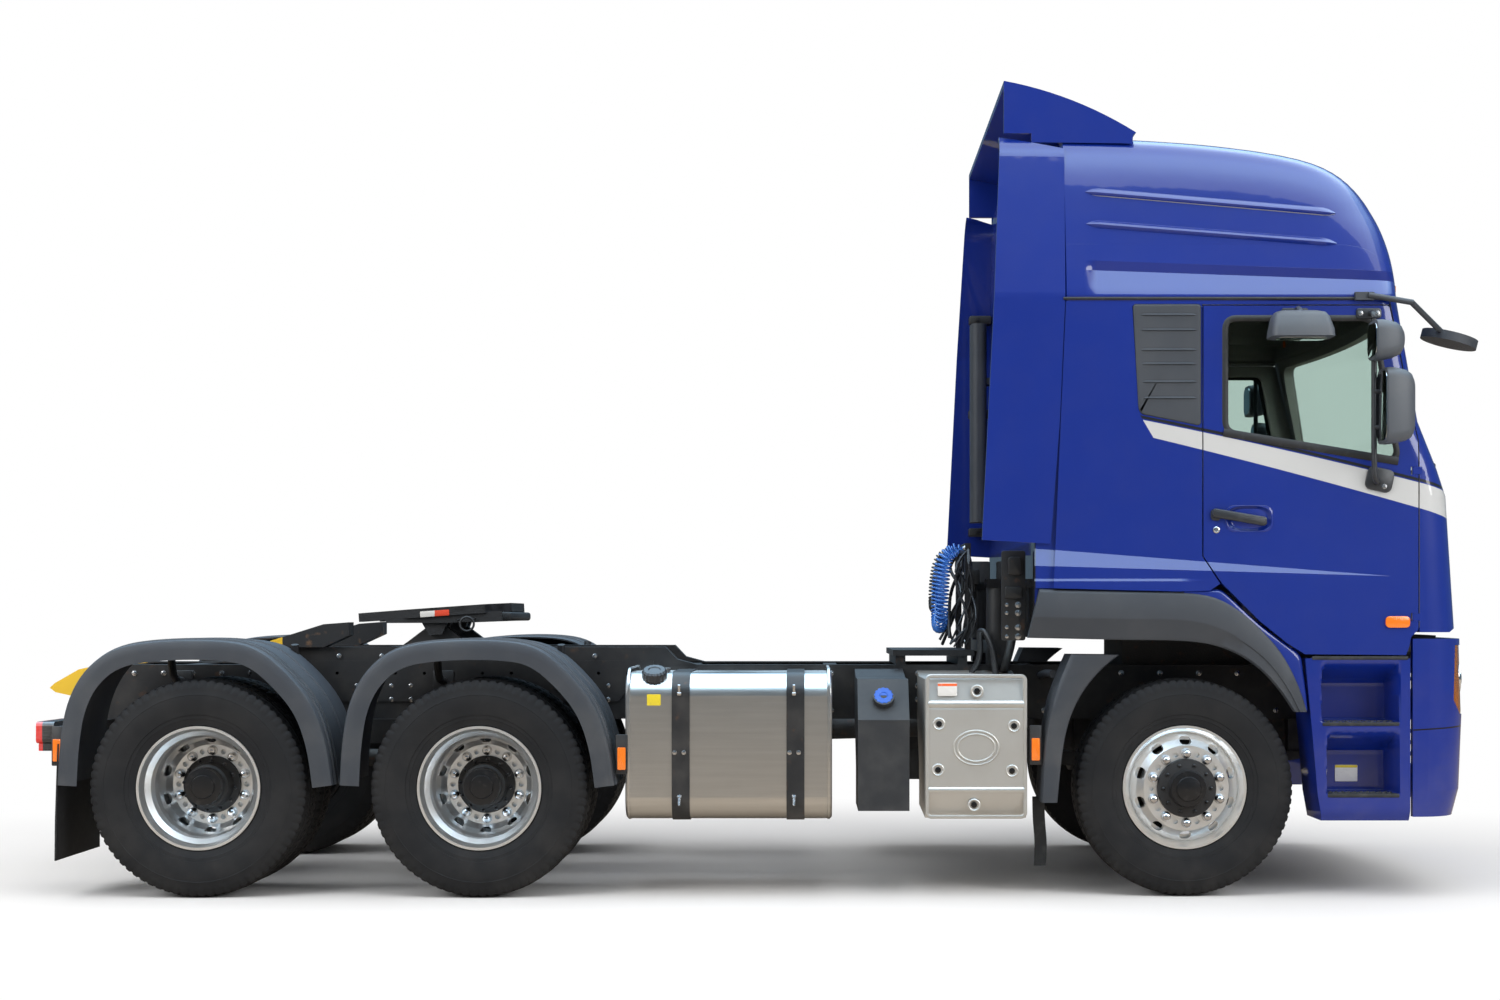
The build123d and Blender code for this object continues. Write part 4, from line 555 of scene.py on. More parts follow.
NUT_CIRCLE, HUB_RADIUS = 0.1675, 0.1412
FRONT_FACE, TWIN_FACE = FRONT_WHEEL_Y + 0.155, TWIN_Y + 0.022         # the discs' outer faces
FRONT_DRUM, TWIN_DRUM = 1.05, 0.78                                     # the drums' outer edges
for axle, station in axles.items():
    front = axle == "front"
    alloy = wheel_alloy(f"{axle}_alloy", station, HUB_RADIUS, FRONT_DRUM if front else TWIN_DRUM)
    for side, sign in (("right", -1), ("left", 1)):
        body = f"front_{side}_wheel" if front else f"{axle}_{side}_wheels"
        paint_nodes(alloy, f"front_wheel_{side}" if front else f"{axle}_wheels_{side}")
        centre = (station, AXLE_Z)
        face = FRONT_FACE if front else TWIN_FACE
        nuts = dome_nuts(Shape(), centre, sign * (face - 0.001), sign, NUT_CIRCLE, 10, 0.0205, 0.040)
        single(nuts, f"{axle}_{side}_wheel_nuts", nut_steel, body, 40)
        cap = Shape()
        if front:
            turned(cap, [(face + 0.062, 0.086), (face + 0.070, 0.084), (face + 0.0715, 0.060), (face + 0.078, 0.056),
                         (face + 0.083, 0.030), (face + 0.084, 0.004)], centre, sign)
            dome_nuts(cap, centre, sign * (face + 0.024), sign, 0.115, 10, 0.008, 0.013, 0.3, 8)
        else:
            turned(cap, [(face + 0.140, 0.090), (face + 0.170, 0.088), (face + 0.172, 0.058), (face + 0.180, 0.054),
                         (face + 0.182, 0.004)], centre, sign)
            dome_nuts(cap, centre, sign * (face + 0.050), sign, 0.126, 12, 0.008, 0.013, 0.1, 8)
        single(cap, f"{axle}_{side}_hub_cap", hub_black, body, 30)


# ---------------------------------------------------------------- frame, springs and axles
# Pressed steel rails and cross members in satin black, iron axles and springs, all with a film of road dust.
frame_black = Finish("frame_black", (0.016, 0.016, 0.017), roughness=0.42)
frame_black.dust(0.55, (0.12, 0.11, 0.10), 1.5)
frame_black.mottle(18, 6, 0.62, 0.74, 0.5, (0.09, 0.045, 0.025)).grain(90, 3, 0.0005)
cast_iron = Finish("cast_iron", (0.035, 0.034, 0.033), roughness=0.62)
cast_iron.dust(0.6, (0.13, 0.115, 0.10), 1.4)
cast_iron.mottle(26, 6, 0.58, 0.75, 0.7, (0.12, 0.055, 0.03)).grain(150, 4, 0.0012)
paint_nodes(frame_black, "frame_rails", "crossmembers", "subframe", "leaf_springs", "catwalk", "cab_mounts",
            "air_tanks", "tank_straps")
paint_nodes(cast_iron, "front_axle_beam", "driveline", "engine", "knuckle_left", "knuckle_right")


# ---------------------------------------------------------------- fifth wheel and ramps
# A cast coupling plate with a greased top; pressed ramps lead up to it, the tail pair painted yellow.
coupling_iron = Finish("coupling_iron", (0.03, 0.03, 0.031), roughness=0.5, metallic=0.4)
greased = coupling_iron.z.ramp(1.375, 1.39)
coupling_iron.colour_over(greased * coupling_iron.noise(12, 5).ramp(0.3, 0.7), (0.01, 0.009, 0.008))
coupling_iron.grain(70, 4, 0.0012)
paint_nodes(coupling_iron, "fifth_wheel_plate")
ramp_paint = Finish("ramp_paint", (0.80, 0.50, 0.02), roughness=0.45)
ramp_paint.colour_over(ramp_paint.x.over(-2.4), (0.016, 0.016, 0.017))
ramp_paint.mottle(14, 6, 0.60, 0.74, 0.8, (0.18, 0.10, 0.05)).grain(60, 3, 0.0008)
paint_nodes(ramp_paint, "loading_ramps")


# ---------------------------------------------------------------- tanks and boxes
# Brushed aluminium fuel tank, black moulded urea and battery boxes, and a pressed alloy cover over the exhaust box.
tank_alloy = Finish("tank_alloy", (0.62, 0.61, 0.59), metallic=1.0, roughness=0.33, Anisotropic=0.5)
tank_alloy.colour_over(tank_alloy.noise(5, 4, (0.4, 1, 9)).ramp(0.3, 0.8) * 0.35, (0.78, 0.77, 0.75))
tank_alloy.mottle(3, 6, 0.55, 0.8, 0.3, (0.42, 0.38, 0.33))
tank_alloy.drive("Roughness", tank_alloy.noise(7, 4, (1, 1, 30)) * 0.16 + 0.24)
tank_alloy.bump(tank_alloy.noise(120, 2, (0.02, 1, 1)), 0.00025)
paint_nodes(tank_alloy, "fuel_tank")
cover_alloy = Finish("cover_alloy", (0.62, 0.60, 0.56), metallic=0.75, roughness=0.42)
cover_alloy.mottle(4, 5, 0.4, 0.8, 0.4, (0.50, 0.47, 0.42)).grain(300, 2, 0.0002)
paint_nodes(cover_alloy, "exhaust_box")
moulded_black = Finish("moulded_black", (0.020, 0.021, 0.023), roughness=0.55)
moulded_black.dust(0.5, (0.12, 0.115, 0.11), 1.3)
moulded_black.grain(700, 2, 0.0004)
paint_nodes(moulded_black, "urea_tank", "battery_box")


# ---------------------------------------------------------------- mudguards and trims
# Grained grey-black plastic, paler where dust and sun have dulled it.
guard_plastic = Finish("guard_plastic", (0.033, 0.038, 0.047), roughness=0.52)
guard_plastic.mottle(3, 4, 0.4, 0.8, 0.4, (0.062, 0.067, 0.074))
guard_plastic.dust(0.35, (0.17, 0.16, 0.145), 1.3)
guard_plastic.grain(800, 2, 0.0005)
paint_nodes(guard_plastic, "rear_mudguards", "front_mudguards", "cab_trims", "front_mirror", "intake_stack",
            "mirrors_right", "mirrors_left")


# ---------------------------------------------------------------- cab paint
# Royal blue enamel under clear lacquer, with a pale grey stripe and a thin black line over it along each side.
STRIPE_TOP, STRIPE_FOOT = (-0.0203, 0.2085, 2.2471), (-0.0190, 0.2465, 2.1652)   # bend, fall, height at the axle
GROOVE_FOOT, GROOVE_TUCK = 2.885, 0.048
HANDLE_X, HANDLE_Z = 0.288, 1.820                                      # the middle of the dish behind the handle
CAB_MIDDLE_X, CAB_MIDDLE_Z = 0.15, 2.35


def stripe_fields(finish):
    """Where the stripe lies: between two slowly falling curves, from a slanted rear end to the front corner."""
    run = finish.x - AXLE_X
    top, low = (run * run * bend - run * fall + height for bend, fall, height in (STRIPE_TOP, STRIPE_FOOT))
    start = (finish.z - 2.210) * -0.593 - 0.171
    side = finish.y.math("ABSOLUTE").over(0.98)
    here = (run - start).over(0.0) * side
    above = finish.z - top
    stripe = above.under(0.0) * (finish.z - low).over(0.0) * here
    line = above.over(0.006) * above.under(0.020) * here
    return stripe, line


def lining_mask(finish):
    """1 on the shell's inner faces: there the surface looks towards the middle of the cab."""
    normal = finish.tree.nodes.new("ShaderNodeSeparateXYZ")
    source = finish.tree.nodes.new("ShaderNodeTexCoord").outputs["Normal"]
    finish.tree.links.new(source, normal.inputs[0])
    nx, ny, nz = (Field(finish.tree, socket) for socket in normal.outputs)
    outward = (finish.x - (AXLE_X + CAB_MIDDLE_X)) * nx + finish.y * ny + (finish.z - CAB_MIDDLE_Z) * nz
    return outward.under(-0.02) * finish.z.over(1.30) * finish.x.over(AXLE_X - 0.700)


def groove(finish):
    """The long groove under the roof's sides: from the gutter the wall leans in to a line that falls slowly
    forwards, and from there it runs out again quickly under the roof panel."""
    run = finish.x - AXLE_X
    middle = run * -0.0363 + 2.9942
    lean = (finish.z - GROOVE_FOOT) / (middle - GROOVE_FOOT)
    tuck = (middle + GROOVE_TUCK - finish.z) / GROOVE_TUCK
    depth = lean.math("MINIMUM", tuck).math("MAXIMUM", 0.0)
    side = finish.y.math("ABSOLUTE").over(1.0)
    return depth * run.ramp(-0.50, -0.43) * side


def door_creases(finish):
    """A wedge pressed along the side, where the wall steps outwards below, and a dish behind the pull handle:
    the step's top and foot are falling lines that meet near the door's front, and the dish is a rounded box."""
    run = finish.x - AXLE_X
    top = run * -0.0776 + 1.6207
    foot = run * -0.0289 + 1.5738
    step = (top - finish.z).math("MAXIMUM", 0.0).math("MINIMUM", (top - foot).math("MAXIMUM", 0.0))
    across = ((run - HANDLE_X) / 0.110).math("ABSOLUTE").math("POWER", 3.0)
    upright = ((finish.z - HANDLE_Z) / 0.062).math("ABSOLUTE").math("POWER", 3.0)
    dish = (across + upright).ramp(0.35, 1.0)
    fold = (finish.z * -1.0 + 1.533).math("MAXIMUM", 0.0).math("MINIMUM", 0.012) * (run * -1.0).ramp(-0.10, 0.05)
    side = finish.y.math("ABSOLUTE").over(1.2)
    return step * 0.42 * side + fold * 0.42 * side + dish * 0.022 * side


def enamel(name):
    """Blue enamel and its stripe under clear lacquer, a little uneven, with thin dust low down."""
    finish = Finish(name, (0.002, 0.018, 0.205), roughness=0.40, Coat_Weight=1.0, Coat_Roughness=0.03,
                    Specular_IOR_Level=0.25)
    finish.mottle(2.0, 3, 0.3, 0.8, 0.25, (0.003, 0.024, 0.25))
    stripe, line = stripe_fields(finish)
    finish.colour_over(stripe, (0.52, 0.52, 0.51))
    finish.colour_over(line, (0.01, 0.01, 0.012))
    finish.dust(0.12, (0.22, 0.20, 0.18), 1.2)
    finish.grain(5, 2, 0.0010)
    return finish


royal_blue = enamel("royal_blue")
lining = lining_mask(royal_blue)
royal_blue.colour_over(lining, (0.30, 0.29, 0.27))
royal_blue.drive("Coat Weight", lining * -1.0 + 1.0)
# Painted shade: the rear wall below the fairings' feet is painted near-black, for the shade that falls under them.
painted_shade_under_fairings = royal_blue.x.under(AXLE_X - 0.730) * royal_blue.z.under(1.71)
royal_blue.colour_over(painted_shade_under_fairings, (0.010, 0.010, 0.011))
royal_blue.bump(groove(royal_blue) * -1.0, 0.022)
royal_blue.bump(door_creases(royal_blue), 1.0)
paint_nodes(royal_blue, "cab_roof", "cab_front", "cab_sides", "cab_rear_wall", "door_right", "door_left")
fairing_blue = enamel("fairing_blue")
on_bumper = fairing_blue.x.over(AXLE_X + 1.072) * fairing_blue.z.under(1.30)
seam = (fairing_blue.z - (fairing_blue.x - AXLE_X) * 0.06 - 0.745).math("ABSOLUTE").under(0.0035) * on_bumper
fairing_blue.colour_over(seam, (0.004, 0.004, 0.006))
paint_nodes(fairing_blue, "side_fairings", "roof_spoiler", "bumper", "entry_steps")


# ---------------------------------------------------------------- glass and lamps
# Green-tinted laminated glass in the screen and doors; clear lamp lenses and orange markers.
tinted_glass = Finish("tinted_glass", (0.62, 0.72, 0.68), roughness=0.03, Transmission_Weight=1.0, IOR=1.05)
tinted_glass.grain(1.5, 2, 0.00008)
paint_nodes(tinted_glass, "windshield", "window_right", "window_left")
lamp_lens = Finish("lamp_lens", (0.16, 0.17, 0.18), roughness=0.10, metallic=0.7, Coat_Weight=1.0)
lamp_lens.colour_over(lamp_lens.y.math("ABSOLUTE").over(1.12), (0.75, 0.22, 0.02))
lamp_lens.bump(lamp_lens.y.waves(260.0), 0.0008)
paint_nodes(lamp_lens, "headlamps")
marker_lens = Finish("marker_lens", (0.85, 0.16, 0.01), roughness=0.2, Coat_Weight=1.0)
marker_lens.bump(marker_lens.z.waves(900.0), 0.0006)
lamp_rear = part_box("tail_lamps")[0].x
span = marker_lens.y.math("ABSOLUTE")
marker_lens.colour_over(span.over(1.06), (0.62, 0.015, 0.01))
marker_lens.colour_over(span.under(0.90), (0.62, 0.015, 0.01))
marker_lens.colour_over(span.over(0.955) * span.under(1.0), (0.75, 0.75, 0.75))
marker_lens.colour_over(marker_lens.x.over(lamp_rear + 0.030), (0.014, 0.014, 0.015))
paint_nodes(marker_lens, "tail_lamps")


# ---------------------------------------------------------------- inside the cab
# Grey moulded dashboard and floor mat, woven cloth seats and bunk.
cabin_plastic = Finish("cabin_plastic", (0.11, 0.105, 0.10), roughness=0.6)
cabin_plastic.mottle(6, 3, 0.4, 0.7, 0.3, (0.15, 0.145, 0.135)).grain(500, 2, 0.0005)
paint_nodes(cabin_plastic, "dashboard", "cab_floor", "steering_wheel")
seat_cloth = Finish("seat_cloth", (0.06, 0.06, 0.065), roughness=0.9, Sheen_Weight=0.4)
weave = (seat_cloth.x * 900.0).math("SINE") * (seat_cloth.z * 900.0).math("SINE") * 0.5 + 0.5
seat_cloth.colour_over(weave * 0.5, (0.12, 0.12, 0.125))
seat_cloth.bump(weave, 0.0006)
paint_nodes(seat_cloth, "seats", "bunk")


# ---------------------------------------------------------------- roof ribs and rain gutters
# The moulded roof's sides carry two pressed ribs each; a black rubber strip seals the gutter between roof and body.
CAB_HALF = 1.245
CAB_PLAN = np.array([                # height, corner station, corner's set-in from the side, where the side ends
    (1.150, 1.320, 0.155, 1.150), (1.932, 1.266, 0.145, 1.110), (2.060, 1.215, 0.120, 1.095),
    (2.290, 1.118, 0.100, 1.015), (2.860, 1.018, 0.100, 0.915), (3.060, 1.000, 0.135, 0.850),
])
NOSE_BULGE = 0.105


def cab_plan(z):
    """The cab's corner station, corner set-in and side end at a height, between the levels it was drawn at."""
    return [np.interp(z, CAB_PLAN[:, 0], CAB_PLAN[:, i]) for i in (1, 2, 3)]


def nose_x(y, z, out=0.0):
    """How far forward the bowed nose stands at a distance from the middle and a height: a circle through the
    corners and the bulged middle."""
    corner, set_in, _ = cab_plan(z)
    half = CAB_HALF - set_in
    radius = (half ** 2 + NOSE_BULGE ** 2) / (2 * NOSE_BULGE)
    return AXLE_X + corner + NOSE_BULGE - radius + np.sqrt(radius ** 2 - np.asarray(y, float) ** 2) + out


def plan_line(z, out, rear):
    """The cab's right-hand outline at a height: straight along the side from a station, round the corner on the arc
    that leaves the side squarely, then along the nose in to the middle."""
    corner, set_in, side_end = cab_plan(z)
    radius = ((corner - side_end) ** 2 + set_in ** 2) / (2 * set_in)
    sweep = np.linspace(0, np.arcsin(min(1.0, (corner - side_end) / radius)), 10)
    arc = np.stack([AXLE_X + side_end + (radius + out) * np.sin(sweep),
                    -CAB_HALF + radius - (radius + out) * np.cos(sweep)], -1)
    side = np.stack([np.linspace(AXLE_X + rear, AXLE_X + side_end, 12)[:-1], np.full(11, -CAB_HALF - out)], -1)
    across = np.linspace(-(CAB_HALF - set_in), 0, 24)[1:]
    nose = np.stack([nose_x(across, z, out), across], -1)
    flat = np.concatenate([side, arc, nose])
    return np.column_stack([flat, np.full(len(flat), z)])


def swept(shape, path, cross, swell=None, facing=None):
    """A closed cross-section carried along a path and capped at both ends; its size at each point is times swell,
    and facing fixes the way its first axis looks."""
    rings = along(path, cross, facing)
    if swell is not None:
        middle = np.asarray(path, float)[:, None]
        rings = middle + (rings - middle) * np.asarray(swell)[:, None, None]
    return shape.grid(rings, closed_columns=True, caps=True)


def ring(shape, path, cross, facing):
    """A closed cross-section carried round a closed path, its first axis looking one fixed way."""
    path = np.asarray(path, float)
    rings = along(np.concatenate([path[-1:], path, path[:1]]), cross, facing)[1:-1]
    return shape.grid(rings, closed_rows=True, closed_columns=True)


def eased(points, rounds=3):
    """A path whose corners are cut again and again, so that it bends smoothly between its ends."""
    points = np.asarray(points, float)
    for _ in range(rounds):
        near, far = points[:-1] * 0.75 + points[1:] * 0.25, points[:-1] * 0.25 + points[1:] * 0.75
        middle = np.stack([near, far], 1).reshape(-1, 3)
        points = np.concatenate([points[:1], middle[1:-1], points[-1:]])
    return points


def tube(shape, corners, radius, sides=10, rounds=3):
    return swept(shape, eased(corners, rounds), ellipse(radius, radius, sides))


def trail(x, y, z):
    """Points from their x, y and z, each an array or one number for them all."""
    return np.column_stack(np.broadcast_arrays(x, y, z)).astype(float)


def rotation(degrees, axis):
    return Matrix.Rotation(radians(degrees), 4, axis)


def rounded_outline(width, height, radius, steps=4):
    """Points round a rectangle whose corners are quarter circles."""
    radius = min(radius, width / 2 - 1e-4, height / 2 - 1e-4)
    quarters = []
    for index, (sx, sy) in enumerate(((1, 1), (-1, 1), (-1, -1), (1, -1))):
        turn = np.linspace(0, pi / 2, steps + 1) + index * pi / 2
        quarters.append(np.stack([sx * (width / 2 - radius) + radius * np.cos(turn),
                                  sy * (height / 2 - radius) + radius * np.sin(turn)], -1))
    return np.concatenate(quarters)


def slab(shape, place, size, radius, edge, turn=None):
    """A plate with rounded corners: its outline (size x along x, size z along z) is carried through its depth along
    y and drawn in towards both faces, which rounds the edges."""
    width, depth, height = size
    rows = []
    for offset, inset in ((-0.5, 1.0), (-0.5 + 0.3 * edge / depth, 0.3), (-0.5 + edge / depth, 0.0),
                          (0.5 - edge / depth, 0.0), (0.5 - 0.3 * edge / depth, 0.3), (0.5, 1.0)):
        outline = rounded_outline(width - 2 * inset * edge, height - 2 * inset * edge,
                                  max(radius - inset * edge, 0.0005))
        rows.append(trail(outline[:, 0], offset * depth, outline[:, 1]))
    rows = np.array(rows)
    if turn is not None:
        rows = rows @ np.array(turn.to_3x3()).T
    return shape.grid(rows + np.asarray(place, float), closed_columns=True, caps=True)


def about_axis(axis, out, wide, turn):
    """Rings about an axis: each stands out along it, and its radius may change as it turns."""
    axis = unit(axis)
    side = unit(np.cross(axis, (0.31, 0.2, 0.93)))
    up = np.cross(side, axis)
    return (axis * out[:, None, None] + side * (wide * np.cos(turn))[..., None]
            + up * (wide * np.sin(turn))[..., None])


def bolt_heads(shape, places, axis, radius=0.011, height=0.009):
    """Hexagon heads on round flanges, standing out from their places along an axis."""
    turn = np.arange(12) / 12 * 2 * pi
    hexagon = np.cos(pi / 6) / np.cos((turn % (pi / 3)) - pi / 6)
    out = np.array([-0.05, 0.22, 0.26, 0.94, 1.0]) * height
    wide = np.stack([1.5 + 0 * turn, 1.45 + 0 * turn, 1.1 * hexagon, 1.1 * hexagon, 0.9 * hexagon]) * radius
    head = about_axis(axis, out, wide, turn)
    for place in np.asarray(places, float).reshape(-1, 3):
        shape.grid(head + place, closed_columns=True, caps=True)
    return shape


LEAN_Z, LEAN_SLOPE = 2.89, 0.18      # above this height the roof's sides lean in


def lean_in(z):
    """How far the roof's side has leaned in at a height."""
    return LEAN_SLOPE * np.clip(z - LEAN_Z, 0, None)


ribs = Shape()
run = np.linspace(0, 1, 40)
for rear_z, front_z in ((3.400, 3.293), (3.240, 3.143)):
    z = rear_z + (front_z - rear_z) * run
    path = trail(AXLE_X - 0.482 + run * 1.200, lean_in(z) - CAB_HALF, z)
    wedge = [(-0.008, 0.026), (0.008, 0.013), (0.018, 0.000), (0.015, -0.006), (0.004, -0.015), (-0.008, -0.022)]
    swept(ribs, path, wedge, np.sqrt(np.clip(np.minimum(run, 1 - run) * 22, 0.02, 1)))
paired(ribs, "roof_ribs", royal_blue, "cab", "blue_paint", 50)

seal_rubber = Finish("seal_rubber", (0.012, 0.012, 0.013), roughness=0.55)
seal_rubber.mottle(30, 4, 0.5, 0.8, 0.4, (0.05, 0.05, 0.048)).grain(250, 2, 0.0003)
paired(swept(Shape(), plan_line(2.872, 0.001, rear=-0.60), ellipse(0.006, 0.0075)),
       "gutter_seal", seal_rubber, "cab", "dark_plastic")


# ---------------------------------------------------------------- doors
# Rubber round each door window, a pull handle over a dished recess, a lock and an orange repeater lamp,
# with an orange marker at each front corner of the roof.
WINDOW = [(0.173, 2.779), (0.173, 2.234), (1.003, 2.097), (0.880, 2.779)]


def rounded_corners(corners, radius):
    """A polygon's points with each corner turned into a smooth curve that starts a radius away on both sides."""
    corners = np.asarray(corners, float)
    before, after = np.roll(corners, 1, axis=0), np.roll(corners, -1, axis=0)
    t = np.linspace(0, 1, 6)[:, None]
    rows = []
    for corner, last, following in zip(corners, before, after):
        start = corner + (last - corner) / np.linalg.norm(last - corner) * radius
        end = corner + (following - corner) / np.linalg.norm(following - corner) * radius
        rows.append(start * (1 - t) ** 2 + corner * 2 * t * (1 - t) + end * t ** 2)
    return np.concatenate(rows)


def on_side(flat, y):
    """Station and height pairs laid on an upright plane at y."""
    flat = np.asarray(flat, float)
    return trail(AXLE_X + flat[:, 0], y, flat[:, 1])


window_rubber = Shape()
ring(window_rubber, on_side(rounded_corners(WINDOW, 0.055), -1.243), ellipse(0.006, 0.016, 8), (0, -1, 0))
ring(window_rubber, on_side(rounded_corners(WINDOW, 0.055), -1.2305), ellipse(0.006, 0.010, 6), (0, -1, 0))
swept(window_rubber, on_side([(0.165, 2.232), (1.000, 2.094)], -1.2475), ellipse(0.005, 0.020, 10), facing=(0, -1, 0))
paired(window_rubber, "window_rubber", seal_rubber, "{side}_door", "dark_plastic")

handle_plastic = Finish("handle_plastic", (0.022, 0.024, 0.028), roughness=0.42, Coat_Weight=0.2)
handle_plastic.mottle(20, 4, 0.5, 0.8, 0.4, (0.06, 0.06, 0.062)).grain(600, 2, 0.0003)
paired(slab(Shape(), at(HANDLE_X, -1.2455, HANDLE_Z), (0.226, 0.004, 0.126), 0.040, 0.0015),
       "handle_recess", royal_blue, "{side}_door", "blue_paint")
handle = Shape()
slab(handle, at(0.238, -1.2640, 1.8265), (0.262, 0.022, 0.044), 0.014, 0.008, rotation(9.6, "Y"))
slab(handle, at(0.128, -1.2500, 1.838), (0.050, 0.016, 0.056), 0.018, 0.006)
slab(handle, at(0.352, -1.2500, 1.808), (0.040, 0.016, 0.044), 0.014, 0.006)
paired(handle, "door_handle", handle_plastic, "{side}_door", "dark_plastic")
lock = turned(Shape(), [(1.2448, 0.0165), (1.2488, 0.0160), (1.2503, 0.0130), (1.2508, 0.0100), (1.2493, 0.0090)],
              (AXLE_X + 0.131, 1.766), -1, 20)
paired(lock, "door_lock", nut_steel, "{side}_door", "alloy")

orange_lens = Finish("orange_lens", (0.90, 0.20, 0.01), roughness=0.16, Coat_Weight=1.0)
orange_lens.bump(orange_lens.x.waves(700.0), 0.0005)
orange_lens.mottle(9, 3, 0.45, 0.8, 0.25, (0.55, 0.10, 0.01))
paired(slab(Shape(), at(0.997, -1.2510, 1.3265), (0.118, 0.014, 0.056), 0.020, 0.005),
       "side_repeater", orange_lens, "{side}_door", "signal")
paired(slab(Shape(), (float(nose_x(1.00, 2.955)) - 0.012, -1.030, 2.955), (0.020, 0.110, 0.040), 0.008, 0.004,
            rotation(-38, "Z")),
       "roof_marker", orange_lens, "cab", "signal")


# ---------------------------------------------------------------- louvre panels
# Black moulded panels behind the doors, each with six long blades that shade the cab's air vents.
blades = Shape()
BLADE_FRONT = 0.040
for z, rear in ((2.793, -0.235), (2.721, -0.235), (2.626, -0.233), (2.559, -0.230), (2.473, -0.226), (2.396, -0.222)):
    run = np.linspace(rear, BLADE_FRONT, 14)
    path = trail(AXLE_X + run, -1.2485, z)
    swell = np.clip(np.minimum(run - rear, BLADE_FRONT - run) * 60, 0.05, 1)
    swept(blades, path, [(-0.004, 0.009), (0.005, 0.005), (0.008, 0.0), (0.003, -0.003), (-0.004, -0.005)], swell)
paired(blades, "louvre_blades", guard_plastic, "cab", "dark_plastic", 40)


# ---------------------------------------------------------------- door mirrors
# Moulded housings on bent tube arms: a tall main mirror, a wide-angle one over it, and a kerb mirror on the right.
mirror_plastic = Finish("mirror_plastic", (0.070, 0.078, 0.090), roughness=0.48)
mirror_plastic.mottle(6, 4, 0.45, 0.8, 0.4, (0.11, 0.115, 0.12)).grain(700, 2, 0.0003)
mirror_glass = Finish("mirror_glass", (0.80, 0.84, 0.86), metallic=1.0, roughness=0.03)
mirror_glass.drive("Roughness", mirror_glass.noise(6, 5).ramp(0.5, 0.9) * 0.12 + 0.02)
mirror_glass.grain(3, 2, 0.0004)


KERB_X, KERB_Y = 0.500, -1.390
HOUSING_ROUND = 0.05


def housing(shape, rear, middle, size, depth):
    """A mirror shell: rounded rectangles square to the truck's length, swelling a little behind the glass's rim and
    drawing in to a blunt dome at the front."""
    width, height = size
    rows = []
    for step, inset in ((0.0, 0.010), (0.02, 0.0), (0.18, -0.002), (0.42, 0.002), (0.68, 0.010), (0.86, 0.024),
                        (0.95, 0.042), (1.0, 0.070)):
        outline = rounded_outline(width - 2 * inset, height - 2 * inset, HOUSING_ROUND * (1 + inset * 4), 6)
        rows.append(trail(AXLE_X + rear + step * depth, middle[0] + outline[:, 0], middle[1] + outline[:, 1]))
    return shape.grid(np.array(rows), closed_columns=True, caps=True)


quarter = rotation(90, "Z")
for side in ("right", "left"):
    shells, panes, arms = Shape(), Shape(), Shape()
    housing(shells, 0.880, (-1.400, 2.3425), (0.196, 0.352), 0.148)
    housing(shells, 0.836, (-1.395, 2.6525), (0.188, 0.182), 0.146)
    slab(panes, at(0.880, -1.400, 2.3425), (0.170, 0.004, 0.326), 0.040, 0.001, quarter)
    slab(panes, at(0.836, -1.395, 2.6525), (0.162, 0.004, 0.156), 0.040, 0.001, quarter)
    tube(arms, [at(0.862, -1.240, 2.800), at(0.868, -1.300, 2.800), at(0.870, -1.300, 2.740),
                at(0.870, -1.300, 2.380), at(0.870, -1.300, 2.050), at(0.880, -1.296, 1.995),
                at(0.905, -1.240, 1.990)], 0.0135, 12, 3)
    for z, bend_x, bend_y, end_x in ((2.420, 0.905, -1.345, 0.930), (2.250, 0.905, -1.345, 0.930),
                                     (2.650, 0.880, -1.340, 0.890)):
        tube(arms, [at(0.870, -1.300, z), at(bend_x, bend_y, z), at(end_x, -1.380, z)], 0.011)
    slab(arms, at(0.858, -1.249, 2.800), (0.120, 0.014, 0.050), 0.014, 0.004)
    slab(arms, at(0.910, -1.251, 2.006), (0.130, 0.018, 0.112), 0.030, 0.006, rotation(12, "Y"))
    bolts = Shape()
    bolt_heads(bolts, [at(x, -1.256, 2.800) for x in (0.818, 0.898)], (0, -1, 0), 0.009, 0.006)
    bolt_heads(bolts, [at(0.885, -1.260, 2.040), at(0.930, -1.260, 1.972)], (0, -1, 0), 0.009, 0.006)
    if side == "right":
        kerb = []
        for z, length, width, shift in ((2.662, 0.262, 0.150, 0), (2.666, 0.296, 0.176, 0), (2.700, 0.292, 0.172, 0),
                                        (2.760, 0.262, 0.140, -0.004), (2.782, 0.236, 0.112, -0.006),
                                        (2.790, 0.190, 0.070, -0.008)):
            outline = rounded_outline(length, width, 0.035, 5)
            kerb.append(trail(AXLE_X + KERB_X + shift + outline[:, 0], KERB_Y + outline[:, 1], z))
        shells.grid(np.array(kerb), closed_columns=True, caps=True)
        slab(panes, at(KERB_X, KERB_Y, 2.661), (0.230, 0.004, 0.118), 0.030, 0.001, rotation(90, "X"))
        slab(arms, at(0.505, -1.250, 2.802), (0.126, 0.014, 0.046), 0.010, 0.003)
        tube(arms, [at(0.505, -1.252, 2.802), at(0.505, -1.330, 2.815), at(0.503, -1.370, 2.780)], 0.015)
        bolt_heads(bolts, [at(x, -1.257, 2.802) for x in (0.463, 0.547)], (0, -1, 0), 0.009, 0.006)
    shell = sided(side, shells, "mirror_shells", mirror_plastic, "{side}_door", "dark_plastic", 50)
    sided(side, panes, "mirror_panes", mirror_glass, "{side}_door", "alloy")
    sided(side, arms, "mirror_arms", handle_plastic, "{side}_door", "dark_plastic")
    sided(side, bolts, "mirror_bolts", nut_steel, "{side}_door", "alloy")
    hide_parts(f"mirrors_{side}")


